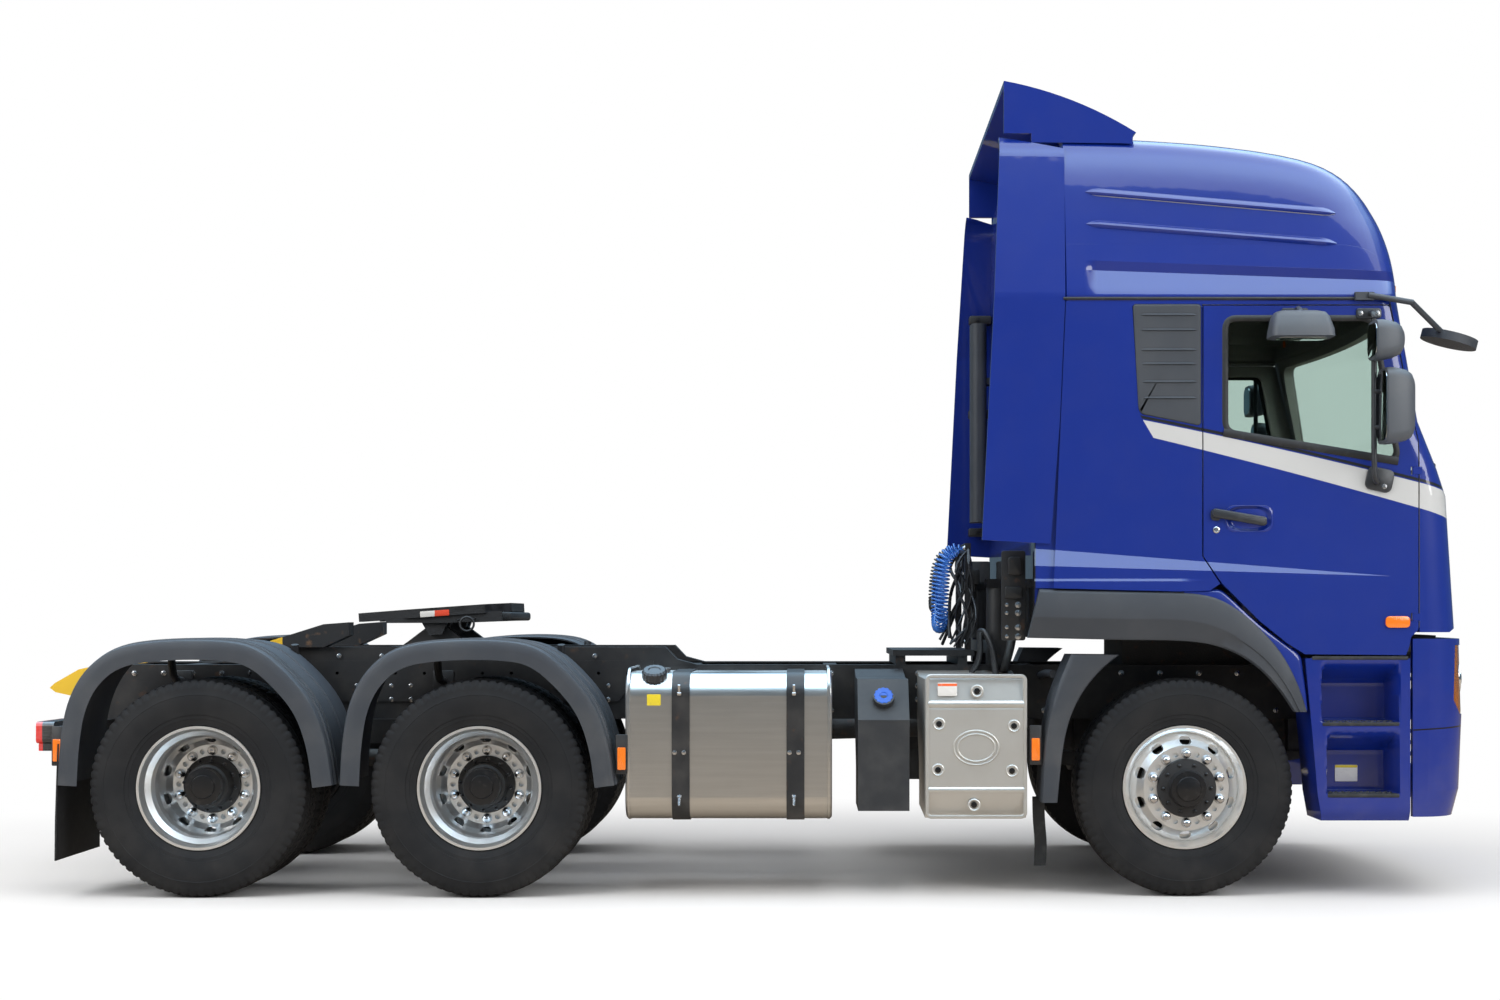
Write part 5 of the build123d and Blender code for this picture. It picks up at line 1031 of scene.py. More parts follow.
# ---------------------------------------------------------------- nose and wipers
# A black mesh grille with body-coloured bars across it, and three wipers at the screen's foot.
grille_black = Finish("grille_black", (0.014, 0.014, 0.015), roughness=0.5)
mesh_holes = (grille_black.y * 260.0).math("SINE") * (grille_black.z * 260.0).math("SINE")
# Painted shade: where the two waves' product is high the mesh's holes are painted near-black, for the dark nose seen
# through them.
grille_black.colour_over(mesh_holes.ramp(0.1, 0.4), (0.003, 0.003, 0.003))
grille_black.bump(mesh_holes, 0.003)
grille = Shape()
across = np.linspace(-0.80, 0.80, 40)
low, high = 1.330, 1.860
levels = [low, low + 0.006, *np.linspace(low + 0.03, high - 0.03, 12), high - 0.006, high]
front = np.array([trail(nose_x(across, z, -0.004 if z in (low, high) else 0.006), across, z) for z in levels])
loop = np.concatenate([front, (front - (0.012, 0, 0))[::-1]])
grille.grid(loop, closed_rows=True)
for column in (0, -1):
    grille.add(loop[:, column], [list(range(len(loop)))])
single(grille, "nose_grille", grille_black, "cab")
bars = Shape()
for z in (1.395, 1.490, 1.585, 1.680, 1.775):
    path = trail(nose_x(across, z, 0.012), across, z)
    swept(bars, path, [(-0.012, 0.020), (0.004, 0.016), (0.010, 0.004), (0.006, -0.014), (-0.012, -0.018)],
          np.clip((0.80 - np.abs(across)) * 20, 0.3, 1), facing=(1, 0, 0))
single(bars, "grille_bars", royal_blue, "cab", 40)
wipers = Shape()
WIPER_Z = 2.092
for pivot, tip in ((-0.95, -0.20), (-0.30, 0.45), (0.35, 0.98)):
    points = np.linspace(0, 1, 16)
    y = pivot + (tip - pivot) * points
    z = WIPER_Z + 0.055 * np.sin(points * pi * 0.9)
    path = trail(nose_x(y, z, 0.030), y, z)
    swept(wipers, path, ellipse(0.007, 0.014, 8), facing=(1, 0, 0))
    blade_y = np.linspace(pivot + 0.12, tip + 0.05, 20)
    blade_z = 2.150 + 0.006 * np.cos((blade_y - pivot) * 4)
    path = trail(nose_x(blade_y, blade_z, 0.014), blade_y, blade_z)
    swept(wipers, path, [(-0.010, 0.003), (0.008, 0.009), (0.012, 0.0), (0.008, -0.009), (-0.010, -0.003)],
          facing=(1, 0, 0))
    arm_y = pivot + (tip - pivot) * 0.55
    arm = [(nose_x(pivot, WIPER_Z, 0.028), pivot, WIPER_Z), (nose_x(arm_y, 2.152, 0.032), arm_y, 2.152)]
    swept(wipers, arm, ellipse(0.006, 0.009, 8), facing=(1, 0, 0))
single(wipers, "wipers", handle_plastic, "cab")


# ---------------------------------------------------------------- tank fittings
# A ribbed black filler cap on its neck, beads round the tank's ends, strap bolts and a plain yellow label,
# and a blue cap on the urea tank.
def lathe(shape, rows, place, axis, sides=24, teeth=0, grip=0.0):
    """A closed solid turned about an axis through a place: rows are (distance along the axis, radius), and teeth
    waves deepen its wall by the grip."""
    rows = np.asarray(rows, float)
    turn = np.arange(sides) / sides * 2 * pi
    wide = rows[:, 1:] - grip * (np.cos(turn * teeth) > 0) * (rows[:, 1:] > 0.6 * rows[:, 1].max())
    points = about_axis(axis, rows[:, 0], wide, turn) + np.asarray(place, float)
    return shape.grid(points, closed_columns=True, caps=True)


low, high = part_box("fuel_tank")
tank_middle = (low + high) / 2
beads = Shape()
for x in (low.x + 0.016, high.x - 0.016):
    outline = rounded_outline(high.y - low.y, high.z - low.z, 0.110, 8)
    path = trail(x, tank_middle.y + outline[:, 0], tank_middle.z + outline[:, 1])
    ring(beads, path, ellipse(0.008, 0.004, 8), (1, 0, 0))
single(beads, "tank_beads", tank_alloy, "chassis")
TANK_CAP_X = -2.560                  # the yellow label stands under the cap
tank_cap = lathe(Shape(), [(-0.03, 0.050), (0.006, 0.050), (0.008, 0.060), (0.014, 0.062), (0.042, 0.060),
                           (0.050, 0.052), (0.051, 0.030), (0.047, 0.026), (0.047, 0.004)],
                 at(TANK_CAP_X, -1.140, 1.052), (0, -0.42, 0.91), 48, 16, 0.004)
single(tank_cap, "tank_cap", handle_plastic, "chassis")
label_yellow = Finish("label_yellow", (0.72, 0.56, 0.02), roughness=0.4)
label_yellow.mottle(40, 4, 0.55, 0.8, 0.5, (0.42, 0.33, 0.05)).grain(90, 2, 0.0002)
single(slab(Shape(), at(TANK_CAP_X, low.y - 0.0006, 0.952), (0.066, 0.0016, 0.054), 0.004, 0.0004),
       "tank_label", label_yellow, "chassis")
STRAPS = (-2.438, -1.887)
strap_bolts = Shape()
for station in STRAPS:
    for z in (high.z - 0.125, low.z + 0.120):
        lathe(strap_bolts, [(0, 0.012), (0.012, 0.012), (0.014, 0.007), (0.050, 0.007), (0.052, 0.002)],
              at(station, low.y - 0.004, z), (0, -0.3, 0.95 if z > 0.7 else -0.95), 10)
bolt_heads(strap_bolts, [at(s + d, low.y - 0.006, 0.70) for s in STRAPS for d in (-0.022, 0.022)],
           (0, -1, 0), 0.008, 0.007)
single(strap_bolts, "strap_bolts", nut_steel, "chassis")
urea_blue = Finish("urea_blue", (0.01, 0.10, 0.52), roughness=0.35)
urea_blue.mottle(30, 4, 0.5, 0.8, 0.4, (0.06, 0.16, 0.45)).grain(300, 2, 0.0003)
urea_cap = lathe(Shape(), [(-0.04, 0.044), (-0.006, 0.044), (-0.004, 0.052), (0.030, 0.051), (0.036, 0.045),
                           (0.037, 0.020), (0.034, 0.016), (0.034, 0.003)],
                 at(-1.453, -1.080, 0.950), (0, -0.81, 0.587), 40, 13, 0.004)
single(urea_cap, "urea_cap", urea_blue, "chassis")


# ---------------------------------------------------------------- exhaust cover
# The pressed alloy cover's folded edges, its two pressed lines, blank oval boss and dished bolt seats.
low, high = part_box("exhaust_box")
face_y = low.y
cover = Shape()
width, height = high.x - low.x, high.z - low.z
middle = ((low.x + high.x) / 2, (low.z + high.z) / 2)
rim = rounded_outline(width - 0.016, height - 0.016, 0.020, 5)
ring(cover, trail(middle[0] + rim[:, 0], face_y - 0.001, middle[1] + rim[:, 1]), ellipse(0.005, 0.009, 8), (0, -1, 0))
for z in (0.928, 0.515):
    across = np.linspace(low.x + 0.012, high.x - 0.012, 12)
    path = trail(across, face_y - 0.0005, z)
    swept(cover, path, [(-0.003, 0.020), (0.004, 0.012), (0.006, 0.0), (0.001, -0.012), (-0.003, -0.016)],
          facing=(0, -1, 0))


def upright_oval(shape, middle, wide, tall, cross, count=40):
    """A bead round an ellipse that stands square to the truck's side."""
    x, y, z = middle
    flat = ellipse(wide, tall, count)
    return ring(shape, trail(x + flat[:, 0], y, z + flat[:, 1]), cross, (0, -1, 0))


BOSS_Z = 0.722
for wide, tall in ((0.108, 0.082), (0.090, 0.066)):
    upright_oval(cover, (middle[0], face_y - 0.001, BOSS_Z), wide, tall, ellipse(0.004, 0.005, 8))
METRES_A_PIXEL = 0.00048             # for each metre from the side camera
LEVEL_COLUMN, LEVEL_ROW = 805, 617   # the pixel on the camera's level line
SEAT_PIXELS = [(977, 691), (939, 724), (1014, 726), (938, 770), (1012, 771), (974, 805)]
scale = METRES_A_PIXEL * (CAMERA_AWAY + face_y)
seat_places = [at(CAMERA_STATION + (column - LEVEL_COLUMN) * scale, face_y, CAMERA_HEIGHT - (row - LEVEL_ROW) * scale)
               for column, row in SEAT_PIXELS]
for x, y, z in seat_places:
    upright_oval(cover, (x, y - 0.0005, z), 0.026, 0.026, ellipse(0.004, 0.006, 6))
single(cover, "exhaust_cover_edges", cover_alloy, "chassis")
cover_bolts = bolt_heads(Shape(), seat_places, (0, -1, 0), 0.010, 0.008)
single(cover_bolts, "exhaust_cover_bolts", hub_black, "chassis")
label_white = Finish("label_white", (0.70, 0.69, 0.66), roughness=0.45)
label_white.colour_over(label_white.z.over(1.018) * label_white.z.under(1.030), (0.85, 0.12, 0.02))
label_white.mottle(50, 4, 0.55, 0.8, 0.4, (0.45, 0.43, 0.40)).grain(90, 2, 0.0002)
single(slab(Shape(), (low.x + 0.105, face_y - 0.0010, 1.003), (0.092, 0.0016, 0.064), 0.004, 0.0004),
       "cover_label", label_white, "chassis")


# ---------------------------------------------------------------- bolts along the frame
# The rails, subframe and brackets are held by rows of flanged bolts; the heads show along both webs.
rail_bolts = Shape()
web = 0.430
stations = np.concatenate([np.arange(-5.30, -0.85, 0.150), np.arange(-0.60, 1.0, 0.20)])
bolt_heads(rail_bolts, [at(s, -web, 1.060) for s in stations], (0, -1, 0), 0.010, 0.012)
bolt_heads(rail_bolts, [at(s, -web, 0.868) for s in stations[::2]], (0, -1, 0), 0.010, 0.012)
for station in (-4.92, -4.10, -3.92, -2.90, -2.62, -1.30):
    bolt_heads(rail_bolts, [at(station + dx, -web, z) for dx in (-0.05, 0.05) for z in (0.925, 0.995)],
               (0, -1, 0), 0.011, 0.013)
low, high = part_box("subframe")
bolt_heads(rail_bolts, [at(s, low.y, 1.150) for s in np.arange(-4.9, -2.72, 0.22)], (0, -1, 0), 0.009, 0.010)
paired(rail_bolts, "rail_bolts", nut_steel, "chassis", "black_steel")


# ---------------------------------------------------------------- steps, flaps and reflectors
# Moulded step boxes with studded rubber treads and a blank label, orange side reflectors on brackets,
# and a hanging strap behind the front wheel.
STEP_FACE, STEP_BACK, STEP_FRONT, STEP_RECESS = -1.240, -0.935, 1.060, 0.200


def recess_depth(x, z):
    """How far the step's face is set in: two pockets with eased edges, deeper towards their backs at the tread."""
    def eased_edge(t, low, high):
        t = np.clip((t - low) / (high - low), 0, 1)
        return t * t * (3 - 2 * t)

    depth = 0
    for foot, top, rear, front in ((0.846, 1.142, 0.635, 1.010), (0.502, 0.812, 0.660, 1.010)):
        along_side = eased_edge(x, rear, rear + 0.030) * (1 - eased_edge(x, front - 0.020, front))
        upward = eased_edge(z, foot, foot + 0.008) * (1 - eased_edge(z, top - 0.120, top))
        depth = depth + along_side * upward * STEP_RECESS
    return depth


step_z = np.unique(np.concatenate([np.linspace(0.374, 1.152, 70), np.linspace(0.500, 0.512, 5),
                                   np.linspace(0.844, 0.856, 5)]))
step_rear = np.interp(step_z, [0.372, 0.500, 0.700, 1.152], [0.640, 0.617, 0.600, 0.558])
spread = np.linspace(0, 1, 56)
step_x = step_rear[:, None] * (1 - spread) + STEP_FRONT * spread
tuck = 0.030 * np.clip((0.44 - step_z) / 0.066, 0, 1)[:, None] ** 2
face = STEP_FACE + recess_depth(step_x, step_z[:, None]) + tuck
front_rows = np.stack(np.broadcast_arrays(AXLE_X + step_x, face, step_z[:, None]), -1)
back_rows = front_rows[:, ::-1].copy()
back_rows[..., 1] = STEP_BACK
step_body = Shape().grid(np.concatenate([front_rows, back_rows], axis=1), closed_columns=True, caps=True)
right, _ = paired(step_body, "step_boxes", fairing_blue, "chassis", "blue_paint", 30)
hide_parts("entry_steps")
paired(slab(Shape(), at(0.804, -1.0415, 0.589), (0.110, 0.004, 0.080), 0.004, 0.001),
       "step_labels", label_white, "chassis", "silver_paint")
paired(slab(Shape(), at(0.804, -1.0435, 0.622), (0.108, 0.002, 0.012), 0.003, 0.0005),
       "step_label_bands", label_yellow, "chassis", "yellow_paint")
tread_rubber = Finish("tread_rubber", (0.016, 0.016, 0.017), roughness=0.7)
tread_rubber.mottle(25, 4, 0.45, 0.75, 0.4, (0.07, 0.065, 0.06)).grain(200, 3, 0.0005)
treads = Shape()
for rear, front, z in ((0.590, 1.050, 1.154), (0.640, 1.008, 0.838), (0.665, 1.008, 0.496)):
    middle_x, length = AXLE_X + (rear + front) / 2, front - rear
    slab(treads, (middle_x, -1.198, z), (length, 0.092, 0.018), 0.006, 0.004)
    for row in range(3):
        for x in np.arange(middle_x - length / 2 + 0.03, middle_x + length / 2 - 0.02, 0.030):
            lathe(treads, [(-0.002, 0.009), (0.003, 0.0075), (0.006, 0.006), (0.0062, 0.003), (0.002, 0.0025)],
                  (x + 0.012 * (row % 2), -1.215 + row * 0.025, z + 0.009), (0, 0, 1), 6)
paired(treads, "step_treads", tread_rubber, "chassis", "dark_plastic")
reflectors, backings = Shape(), Shape()
for station, z in ((-2.714, 0.671), (-5.420, 0.711), (-0.728, 0.716)):
    slab(reflectors, at(station, -1.214, z), (0.040, 0.010, 0.108), 0.006, 0.003)
    slab(backings, at(station, -1.204, z + 0.02), (0.056, 0.010, 0.190), 0.006, 0.002)
    slab(backings, at(station, -1.140, z + 0.09), (0.050, 0.130, 0.008), 0.003, 0.002)
paired(reflectors, "side_reflectors", orange_lens, "chassis", "signal")
paired(backings, "reflector_brackets", frame_black, "chassis", "black_steel")
strap = Shape()
hang = [at(-0.690, -0.98, 0.470), at(-0.688, -0.98, 0.360), at(-0.676, -0.975, 0.240), at(-0.682, -0.98, 0.130)]
swept(strap, eased(hang, 2), rounded_outline(0.060, 0.005, 0.002, 1), facing=(1, 0, 0))
single(strap, "earth_strap", seal_rubber, "chassis")


# ---------------------------------------------------------------- hoses and valves behind the cab
# Brake hoses, looms and a valve block crowd the frame behind the cab, tied up in loose bends.
drawn = np.random.default_rng(7)
hoses = Shape()
for index in range(12):
    side = -1 if index % 3 else 1
    start = at(-1.05 + drawn.uniform(-0.05, 0.08), side * drawn.uniform(0.10, 0.42), drawn.uniform(1.19, 1.24))
    middles = [at(-0.995 + drawn.uniform(-0.085, 0.060), start[1] + drawn.uniform(-0.14, 0.14), z)
               for z in (1.34, 1.50, 1.62)]
    end = at(-0.985, start[1] + drawn.uniform(-0.08, 0.08), 1.700)
    tube(hoses, [start, *middles, end], drawn.uniform(0.005, 0.010), 8, 3)
for y in (-0.56, -0.62, -0.69):
    tube(hoses, [at(-0.86, y, 0.98), at(-0.88, y - 0.02, 1.20), at(-0.95, y + 0.05, 1.32),
                 at(-0.93, y + 0.12, 1.12), at(-1.02, -0.44, 1.02)], 0.011, 10, 3)
single(hoses, "brake_hoses", cable_rubber, "chassis")
valves = Shape()
for y, z, size in ((-0.30, 1.56, (0.05, 0.11, 0.08)), (-0.14, 1.50, (0.045, 0.09, 0.11)),
                   (0.20, 1.54, (0.05, 0.12, 0.09))):
    slab(valves, at(-0.950, y, z), size, 0.012, 0.005)
    for dy in (-0.03, 0.0, 0.03):
        lathe(valves, [(0, 0.013), (0.012, 0.013), (0.014, 0.009), (0.034, 0.009), (0.036, 0.004)],
              at(-0.950, y + dy, z - size[2] / 2), (0, 0, -1), 10)
single(valves, "valve_blocks", coupling_iron, "chassis")
stand_bolts = bolt_heads(Shape(), [at(-1.001, y, z) for y in (-0.325, 0.325) for z in (1.22, 1.40, 1.71)],
                         (-1, 0, 0), 0.009, 0.010)
single(stand_bolts, "stand_bolts", nut_steel, "chassis")


# ---------------------------------------------------------------- fifth wheel handle
# A steel pull ring releases the coupling's jaws; two grease lines feed the plate, and its edge carries a blank tag.
pull = Shape()
low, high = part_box("fifth_wheel_plate")
PLATE_SIDE, PLATE_THICK, PLATE_FALL = -0.452, 0.056, 0.070
HOOP_X = -3.575


def under_plate(station):
    """The underside of the plate, which lies four degrees down at its rear."""
    return high.z - PLATE_THICK - (high.x - AXLE_X - station) * PLATE_FALL


for station in (-3.60, -3.52):
    low_z = under_plate(station)
    tube(pull, [at(station, -0.20, low_z - 0.004), at(station, -0.40, low_z - 0.008),
                at(station - 0.03, -0.465, low_z - 0.020)], 0.004, 6)
upright_oval(pull, at(HOOP_X, -0.475, under_plate(HOOP_X) - 0.040), 0.036, 0.036, ellipse(0.006, 0.006, 8), 24)
slab(pull, at(-3.425, 0, under_plate(-3.425) - 0.012), (0.130, 0.780, 0.046), 0.015, 0.006)
for y in (-0.425, 0.425):
    beam = np.array([at(-4.00, y, under_plate(-4.00) + 0.004), at(-3.70, y, under_plate(-3.70) - 0.006),
                     at(-3.40, y, under_plate(-3.40) - 0.010)])
    swept(pull, beam, [(-0.010, 0.020), (0.010, 0.020), (0.010, -0.020), (-0.010, -0.020)], np.array([0.5, 1.0, 1.3]))
single(pull, "coupling_pull", coupling_iron, "coupling_plate", 30)
tag_white = Finish("tag_white", (0.68, 0.67, 0.64), roughness=0.45)
tag_white.colour_over(tag_white.x.over(AXLE_X - 3.745), (0.70, 0.06, 0.02))
tag_white.grain(90, 2, 0.0002)
single(slab(Shape(), at(-3.745, PLATE_SIDE, under_plate(-3.745) + 0.026), (0.150, 0.002, 0.030), 0.003, 0.0005,
            rotation(-4, "Y")),
       "coupling_tag", tag_white, "coupling_plate")


# ---------------------------------------------------------------- seats and bunk
# Two sprung seats in woven cloth on moulded pedestals, and a sleeper's mattress with a pillow on its locker.
def pad(shape, place, size, crown=0.34, corner=0.22, seams=(), turn=None):
    """A stuffed cushion: a rounded box whose faces swell, (cosine of the rise to a small power) times (cosine and
    sine of the turn to a small power), pulled in along each seam by a narrow bell curve."""
    rise = np.linspace(-pi / 2, pi / 2, 25)[:, None]
    around = np.arange(64)[None, :] / 64 * 2 * pi

    def eased_power(t, exponent):
        return np.sign(t) * np.abs(t) ** exponent

    a, b, c = (value / 2 for value in size)
    across = eased_power(np.cos(rise), crown)
    x = a * across * eased_power(np.cos(around), corner)
    y = b * across * eased_power(np.sin(around), corner)
    z = c * eased_power(np.sin(rise), crown) + 0 * around
    dome = (1 - (x / a) ** 2) * (1 - (y / b) ** 2)
    z = z * (0.86 + 0.18 * dome)
    for axis, share in seams:
        reach = (x / a if axis == "x" else y / b) - share
        z = z * (1 - 0.13 * np.exp(-(reach / 0.035) ** 2))
    points = np.stack([x, y, z], -1)
    if turn is not None:
        points = points @ np.array(turn.to_3x3()).T
    return shape.grid(points + np.asarray(place, float), closed_columns=True, caps=True)


def cushion(name, finish, body, fill, *args, **kwargs):
    piece = single(pad(Shape(), *args, **kwargs), name, finish, body, 80)
    return piece


upright = rotation(-5.5, "Y") @ rotation(-90, "Y")
pedestals = Shape()
first_cushion = None
for side, y in (("right", -0.56), ("left", 0.56)):
    base = cushion(f"seat_cushion_{side}", seat_cloth, "cab", 0.85, at(0.335, y, 1.822), (0.540, 0.490, 0.160),
                   seams=(("y", -0.62), ("y", 0.62), ("x", -0.2), ("x", 0.35)))
    cushion(f"seat_back_{side}", seat_cloth, "cab", 0.85, at(0.015, y, 2.170), (0.580, 0.460, 0.135),
            seams=(("y", -0.6), ("y", 0.6), ("x", -0.45), ("x", 0.1)), turn=upright)
    cushion(f"head_rest_{side}", seat_cloth, "cab", 0.9, at(-0.030, y, 2.545), (0.190, 0.290, 0.100),
            seams=(("y", -0.7), ("y", 0.7)), turn=upright)
    slab(pedestals, at(0.325, y, 1.570), (0.350, 0.300, 0.345), 0.030, 0.012)
    slab(pedestals, at(0.335, y, 1.742), (0.460, 0.420, 0.040), 0.015, 0.008)
    for dy in (-0.07, 0.07):
        tube(pedestals, on_side([(-0.012, 2.40), (-0.020, 2.45), (-0.028, 2.50)], y + dy), 0.007)
    for dy in (-0.262, 0.262):
        slab(pedestals, at(0.150, y + dy, 2.000), (0.300, 0.040, 0.045), 0.020, 0.012)
    if first_cushion is None:
        first_cushion = base
single(pedestals, "seat_frames", cabin_plastic, "cab")
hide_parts("seats")
bunk_cloth = Finish("bunk_cloth", (0.12, 0.14, 0.19), roughness=0.9, Sheen_Weight=0.3)
checks = (bunk_cloth.x * 70.0).math("SINE").over(0.85).math("MAXIMUM", (bunk_cloth.y * 70.0).math("SINE").over(0.85))
bunk_cloth.colour_over(checks * 0.6, (0.28, 0.30, 0.34))
bunk_cloth.grain(700, 3, 0.0008)
mattress = cushion("mattress", bunk_cloth, "cab", 0.7, at(-0.402, 0, 1.842), (0.548, 2.330, 0.130),
                   crown=0.28, corner=0.12, seams=(("y", -0.5), ("y", 0.0), ("y", 0.5)))
cushion("pillow", bunk_cloth, "cab", 0.5, at(-0.410, 0.860, 1.935), (0.380, 0.520, 0.120),
        crown=0.6, corner=0.45)
locker = Shape()
slab(locker, at(-0.4075, 0, 1.590), (0.535, 2.340, 0.376), 0.020, 0.010)
for y in (-0.78, 0.0, 0.78):
    slab(locker, at(-0.138, y, 1.600), (0.008, 0.720, 0.300), 0.003, 0.002)
single(locker, "bunk_locker", cabin_plastic, "cab")
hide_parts("bunk")
binnacle = Shape()
slab(binnacle, at(0.915, 0.56, 2.115), (0.180, 0.460, 0.100), 0.040, 0.025)
for y in (-0.95, -0.62, -0.18, 0.16):
    slab(binnacle, at(0.832, y, 2.000), (0.030, 0.180, 0.090), 0.015, 0.008, rotation(-25, "Y"))
single(binnacle, "instrument_hood", cabin_plastic, "cab")


# ---------------------------------------------------------------- roof shell
# The moulded high roof: one smooth shell that leans in at the sides and rounds over its forehead to a flat crown.
ROOF_FOOT, ROOF_EAVE = 2.8615, 2.86
ROOF_REAR, ROOF_TURN, ROOF_SEAM = -0.735, 0.250, -0.582
ROOF_WELD = 0.0004
FOREHEAD_X, FOREHEAD_CURL, CURL_POWER = 1.018, 0.60, 2.3
CROWN_Z, CROWN_FALL, CROWN_BOW = 3.748, 0.026, 0.048
ROOF_REACH = 2.6                     # further than any roof point from where the rays start
SEAM_DEPTH = 0.026                   # how far the side fairings' seat lies under the roof's skin


def soft_max(values, softness):
    """A greatest value with rounded changes: softness times the log of the sum of the exponentials."""
    stack = np.stack(np.broadcast_arrays(*values)) / softness
    top = stack.max(0)
    return softness * (top + np.log(np.exp(stack - top).sum(0)))


def outside_roof(x, y, z):
    """Above 0 outside the roof: the greatest of how far a point lies past the leaning side, past the forehead that
    curls back with height, and above the crown that falls forwards as the cube of its run."""
    rise = np.clip(z - ROOF_EAVE, 0, None)
    side = np.abs(y) - (CAB_HALF - lean_in(z))
    front = x - (FOREHEAD_X - FOREHEAD_CURL * rise ** CURL_POWER + NOSE_BULGE * (1 - (y / 1.145) ** 2))
    crown = z - (CROWN_Z - CROWN_FALL * np.clip(x + 1.0, 0, None) ** 3 - CROWN_BOW * (np.abs(y) / 1.1) ** 2)
    return soft_max([side, front * 0.9, crown], 0.026 + 0.036 * np.clip(rise / 0.45, 0, 1))


def roof_rays(origin, heading):
    """Where rays meet the roof, found by halving the span between inside and outside."""
    near, far = np.zeros(heading.shape[:-1]), np.full(heading.shape[:-1], ROOF_REACH)
    for _ in range(36):
        middle = (near + far) / 2
        x, y, z = np.moveaxis(origin + heading * middle[..., None], -1, 0)
        inside = outside_roof(x, y, z) < 0
        near, far = np.where(inside, middle, near), np.where(inside, far, middle)
    return origin + heading * near[..., None]


roof = Shape()
sweep = np.linspace(0, pi, 121)
stations = np.concatenate([np.linspace(ROOF_REAR, ROOF_SEAM - 0.012, 5), np.linspace(ROOF_SEAM, ROOF_TURN, 26)])
origin = np.zeros((len(stations), len(sweep), 3))
origin[..., 0] = stations[:, None]
origin[..., 2] = ROOF_FOOT
heading = np.broadcast_to(np.stack([0 * sweep, -np.cos(sweep), np.sin(sweep)], -1), origin.shape)
rear_part = roof_rays(origin, heading)
seated = stations < ROOF_SEAM - 0.001
rear_part[seated] -= heading[seated] * SEAM_DEPTH
azimuth, lift = np.meshgrid(np.linspace(-pi / 2, pi / 2, 121), sweep[:61], indexing="ij")
heading = np.stack([np.cos(lift) * np.cos(azimuth), np.cos(lift) * np.sin(azimuth), np.sin(lift)], -1)
front_part = roof_rays(np.array([ROOF_TURN, 0, ROOF_FOOT]), heading)
front_axle = (AXLE_X, 0, 0)
roof.grid(rear_part + front_axle)
roof.grid(front_part + front_axle)
roof.add(rear_part[0] + front_axle, [list(range(len(sweep)))])
roof_shell = single(roof, "roof_shell", royal_blue, "cab", 40, ROOF_WELD)
wall = roof_shell.modifiers.new("wall", "SOLIDIFY")
wall.thickness = 0.040
wall.offset = -1.0
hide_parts("cab_roof")


# ---------------------------------------------------------------- arch trims
# Grained black mouldings over the front wheels with a painted lip over them, each drawn between two smooth
# curves, and the panels that hold the louvres.
def side_curve(corners, count=40):
    """A smooth side-view curve through eased corners, sampled evenly along its length."""
    eased_path = eased(np.column_stack([np.asarray(corners, float), np.zeros(len(corners))]), 4)[:, :2]
    travel = np.concatenate([[0], np.cumsum(np.linalg.norm(np.diff(eased_path, axis=0), axis=1))])
    marks = np.linspace(0, travel[-1], count)
    return np.stack([np.interp(marks, travel, eased_path[:, i]) for i in (0, 1)], -1)


def moulding(top, foot, across):
    """A closed moulding between two side-view curves: each row of across is a share of the way from the first curve
    to the second, and a distance from the middle of the truck."""
    share, y = np.array(across).T
    flat = top[:, None] * (1 - share[None, :, None]) + foot[:, None] * share[None, :, None]
    points = np.stack([AXLE_X + flat[..., 0], np.broadcast_to(y, flat.shape[:2]), flat[..., 1]], -1)
    return Shape().grid(points, closed_columns=True, caps=True)


top = side_curve([(-0.711, 1.484), (-0.25, 1.474), (0.060, 1.472), (0.205, 1.420), (0.345, 1.300), (0.455, 1.175),
                  (0.535, 1.010), (0.568, 0.896)])
foot = side_curve([(-0.768, 1.250), (-0.30, 1.240), (0.030, 1.238), (0.205, 1.196), (0.350, 1.105), (0.450, 0.990),
                   (0.510, 0.896)])
arch = moulding(top, foot, [(0.0, -1.228), (0.03, -1.238), (0.08, -1.2425), (0.55, -1.2430), (0.60, -1.2430),
                            (0.64, -1.2370), (0.95, -1.2360), (1.0, -1.228), (1.0, -1.192), (0.0, -1.192)])
right, _ = paired(arch, "arch_trim", guard_plastic, "cab", "dark_plastic", 40)
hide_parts("cab_trims")
lip_top = side_curve([(-0.020, 1.483), (0.110, 1.480), (0.156, 1.486), (0.205, 1.442), (0.326, 1.326), (0.440, 1.241),
                      (0.528, 1.183), (0.545, 1.150), (0.553, 1.080), (0.566, 0.990), (0.572, 0.905)])
lip_foot = side_curve([(-0.020, 1.455), (0.060, 1.454), (0.200, 1.402), (0.335, 1.285), (0.443, 1.165),
                       (0.520, 1.005), (0.552, 0.905)])
arch_lip = moulding(lip_top, lip_foot, [(0.0, -1.222), (0.12, -1.232), (0.30, -1.236), (1.0, -1.236), (1.0, -1.200),
                                        (0.0, -1.200)])
paired(arch_lip, "arch_lip", fairing_blue, "cab", "blue_paint", 40)
panel = rounded_corners([(-0.268, 2.844), (0.057, 2.844), (0.057, 2.264), (-0.226, 2.320), (-0.241, 2.342)], 0.020)
panel_middle = panel.mean(0)
rows = [on_side(panel_middle + (panel - panel_middle) * grow, y)
        for grow, y in ((0.01, -1.2490), (0.30, -1.2490), (0.60, -1.2490), (0.90, -1.2490), (0.975, -1.2490),
                        (0.990, -1.2485), (1.0, -1.2460), (1.0, -1.2320))]
louvre_panel = Shape().grid(np.array(rows), closed_columns=True, caps=True)
paired(louvre_panel, "louvre_panel", guard_plastic, "cab", "dark_plastic", 40)


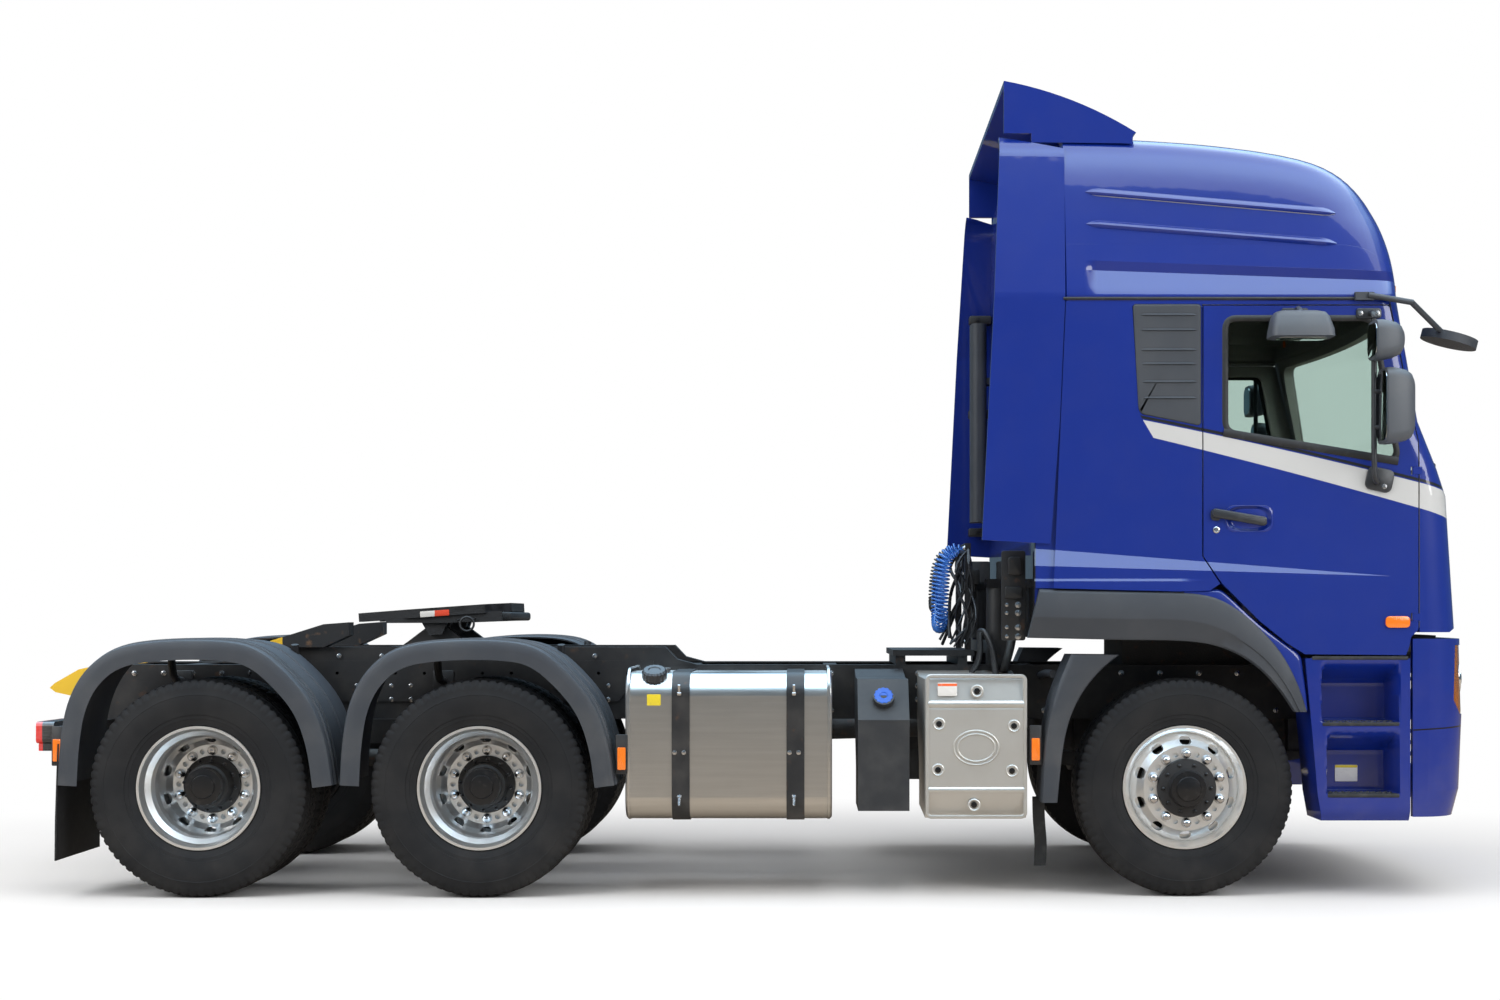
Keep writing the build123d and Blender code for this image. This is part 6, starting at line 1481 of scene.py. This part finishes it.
# ---------------------------------------------------------------- rear mudguards
# Moulded plastic guards over the twin wheels: a deep outer lip, pressed ridges along the crown, brackets and flaps.
guard_corners = [(-0.664, 0.545), (-0.655, 0.730), (-0.625, 0.930), (-0.545, 1.090), (-0.400, 1.205), (-0.180, 1.240),
                 (0.130, 1.242), (0.300, 1.205), (0.450, 1.075), (0.565, 0.930), (0.630, 0.740), (0.655, 0.545)]
guard_cross = np.array([                     # distance from the middle of the truck, depth under the crown
    (-1.2400, 0.096), (-1.2410, 0.050), (-1.2400, 0.016), (-1.2350, 0.005), (-1.2240, 0.0), (-1.1850, 0.0),
    (-1.1810, -0.008), (-1.1530, -0.008), (-1.1490, 0.0), (-1.1150, 0.0), (-1.1110, -0.008), (-1.0830, -0.008),
    (-1.0790, 0.0), (-0.8800, 0.0), (-0.8760, -0.007), (-0.8400, -0.007), (-0.8360, 0.0), (-0.6150, 0.0),
    (-0.6100, 0.003), (-0.6100, 0.010), (-1.2260, 0.010), (-1.2310, 0.020), (-1.2320, 0.096),
])
guards, guard_steel = Shape(), Shape()
curve = side_curve(guard_corners, 64)
run = unit(np.gradient(curve, axis=0))
inward = np.stack([run[:, 1], -run[:, 0]], -1)
for axle_station in (-3.400, -4.750):
    plan = curve[:, None] + inward[:, None] * guard_cross[None, :, 1:]
    guards.grid(np.stack([AXLE_X + axle_station + plan[..., 0], np.broadcast_to(guard_cross[:, 0], plan.shape[:2]),
                          plan[..., 1]], -1), closed_columns=True, caps=True)
    for station in (axle_station - 0.300, axle_station + 0.330):
        arm = [at(station, y, z) for y, z in ((-0.430, 1.020), (-0.600, 1.030), (-0.640, 1.210))]
        tube(guard_steel, arm, 0.020, 10, 2)
        slab(guard_steel, at(station, -0.440, 1.020), (0.110, 0.016, 0.110), 0.010, 0.004)
flap = Shape()
flap_path = on_side([(-5.412, 0.742), (-5.418, 0.560), (-5.424, 0.370), (-5.426, 0.182)], -0.910)
flap_cross = [(-0.310, 0.004), (0.310, 0.004), (0.312, 0.0), (0.310, -0.004), (-0.310, -0.004), (-0.312, 0.0)]
swept(flap, flap_path, flap_cross, facing=(0, 1, 0))
right, _ = paired(guards, "rear_guards", guard_plastic, "chassis", "dark_plastic", 32)
paired(guard_steel, "guard_brackets", frame_black, "chassis", "black_steel")
paired(flap, "mud_flaps", seal_rubber, "chassis", "dark_plastic")
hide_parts("rear_mudguards")


# ---------------------------------------------------------------- headlamps and rear wall
# Two bright bowls in chrome bezels on each headlamp's face; swages on the cab's rear wall, and the brackets
# that hold the side fairings to it.
lamp_mesh = nodes["headlamps"].data
lamp_face = BVHTree.FromPolygons([vertex.co for vertex in lamp_mesh.vertices],
                                 [polygon.vertices[:] for polygon in lamp_mesh.polygons])


def lamp_x(y, z):
    """How far forward the headlamp's face stands at a distance from the middle and a height."""
    return lamp_face.ray_cast(Vector((6.0, y, z)), Vector((-1, 0, 0)))[0].x


bowls, bezels = Shape(), Shape()
for y, z in ((-0.875, 1.050), (-1.040, 1.050)):
    slope = (lamp_x(y + 0.02, z) - lamp_x(y - 0.02, z)) / 0.04
    for shape, rows in ((bezels, [(-0.004, 0.074), (0.003, 0.073), (0.005, 0.069), (0.003, 0.064), (-0.004, 0.062)]),
                        (bowls, [(-0.003, 0.062), (0.002, 0.060), (0.008, 0.044), (0.013, 0.024), (0.0145, 0.004)])):
        lathe(shape, rows, (lamp_x(y, z), y, z), (1.0, -slope, 0.0), 32)
lamp_chrome = Finish("lamp_chrome", (0.85, 0.85, 0.86), metallic=1.0, roughness=0.12)
lamp_chrome.grain(60, 2, 0.0002)
lamp_glow = Finish("lamp_bowl", (0.62, 0.66, 0.70), metallic=0.6, roughness=0.08, Coat_Weight=1.0)
lamp_glow.bump(lamp_glow.z.waves(500.0), 0.0006)
paired(bezels, "lamp_bezels", lamp_chrome, "chassis", "lamp")
paired(bowls, "lamp_bowls", lamp_glow, "chassis", "lamp")
REAR_WALL = AXLE_X - 0.7345
swages = Shape()


def swage(first, last, steps, half, slope):
    """A rounded pressing on the rear wall between two places, its crown so wide each way and its sides sloping so
    far beyond it, which fades out at both ends."""
    path = np.linspace((REAR_WALL, *first), (REAR_WALL, *last), steps)
    cross = [(slope, half), (slope + 0.002, 0.0), (slope, -half), (-0.004, -half - slope), (-0.004, half + slope)]
    to_end = np.minimum(np.arange(steps), steps - 1 - np.arange(steps))
    swept(swages, path, cross, np.clip(to_end * 2.0, 0.15, 1), facing=(-1, 0, 0))


for y in np.linspace(-0.84, 0.84, 7):
    swage((y, 1.80), (y, 2.74), 12, 0.030, 0.014)
for z in (3.02, 3.26, 3.50):
    swage((-0.80, z), (0.80, z), 16, 0.024, 0.012)
single(swages, "rear_wall_swages", fairing_blue, "cab", 40)
brackets = Shape()
for z in (1.85, 2.55, 3.10):
    slab(brackets, at(-0.800, -1.150 + lean_in(z), z), (0.130, 0.080, 0.050), 0.010, 0.004)
    bolt_heads(brackets, [at(-0.820, -1.110 + lean_in(z), z)], (0, 1, 0), 0.010, 0.008)
paired(brackets, "fairing_brackets", frame_black, "cab", "black_steel")


# ---------------------------------------------------------------- nose shade sheet, front guards and number plate
# A black rubber sheet fills the gap under the nose as painted shade, moulded guards stand behind the front wheels,
# and the number plate is blank.
# Painted shade: a black sheet stands for the shaded space behind the gap under the nose.
painted_shade_sheet = swept(Shape(), plan_line(1.268, -0.088, rear=1.090),
               [(-0.003, -0.050), (0.003, -0.050), (0.003, -0.007), (-0.003, -0.007)])
paired(painted_shade_sheet, "nose_baffle", seal_rubber, "chassis", "dark_plastic")
outer = side_curve([(-0.560, 1.170), (-0.600, 1.080), (-0.655, 0.930), (-0.690, 0.720), (-0.700, 0.461)], 30)
inner = side_curve([(-0.330, 1.168), (-0.420, 1.100), (-0.530, 0.960), (-0.595, 0.780), (-0.626, 0.461)], 30)
guard = moulding(outer, inner, [(0.0, -1.222), (0.06, -1.232), (0.16, -1.2350), (0.88, -1.2350), (0.96, -1.232),
                                (1.0, -1.224), (1.0, -0.962), (0.0, -0.962)])
tube(guard, [at(-0.615, y, z) for y, z in ((-0.970, 1.070), (-0.700, 1.070), (-0.435, 1.050))], 0.020)
right, _ = paired(guard, "front_guards", guard_plastic, "chassis", "dark_plastic", 40)
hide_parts("front_mudguards")
plate_white = Finish("plate_white", (0.72, 0.72, 0.70), roughness=0.35)
plate_white.mottle(30, 4, 0.55, 0.8, 0.3, (0.50, 0.48, 0.44)).grain(90, 2, 0.0002)
single(slab(Shape(), at(1.4555, 0, 0.878), (0.500, 0.006, 0.112), 0.008, 0.002, quarter),
       "number_plate", plate_white, "chassis")


# ---------------------------------------------------------------- valve panels
# Black steel panels behind the cab that the air valves are bolted to, each on an arm from the frame rail.
valve_panel = Shape()
slab(valve_panel, at(-0.812, -0.980, 1.455), (0.118, 0.012, 0.440), 0.012, 0.003)
slab(valve_panel, at(-0.806, -0.992, 1.600), (0.070, 0.030, 0.090), 0.016, 0.008)
slab(valve_panel, at(-0.812, -0.990, 1.470), (0.086, 0.022, 0.060), 0.012, 0.006)
tube(valve_panel, [at(-0.812, y, z) for y, z in ((-0.966, 1.280), (-0.800, 1.180), (-0.440, 1.060))], 0.022)
paired(valve_panel, "valve_panel", frame_black, "chassis", "black_steel", 40)
panel_bolts = Shape()
for z in (1.255, 1.300, 1.370, 1.410):
    bolt_heads(panel_bolts, [at(-0.790, -0.9865, z)], (0, -1, 0), 0.011, 0.010)
    bolt_heads(panel_bolts, [at(-0.845, -0.9865, z)], (0, -1, 0), 0.007, 0.007)
paired(panel_bolts, "valve_panel_bolts", nut_steel, "chassis", "alloy")
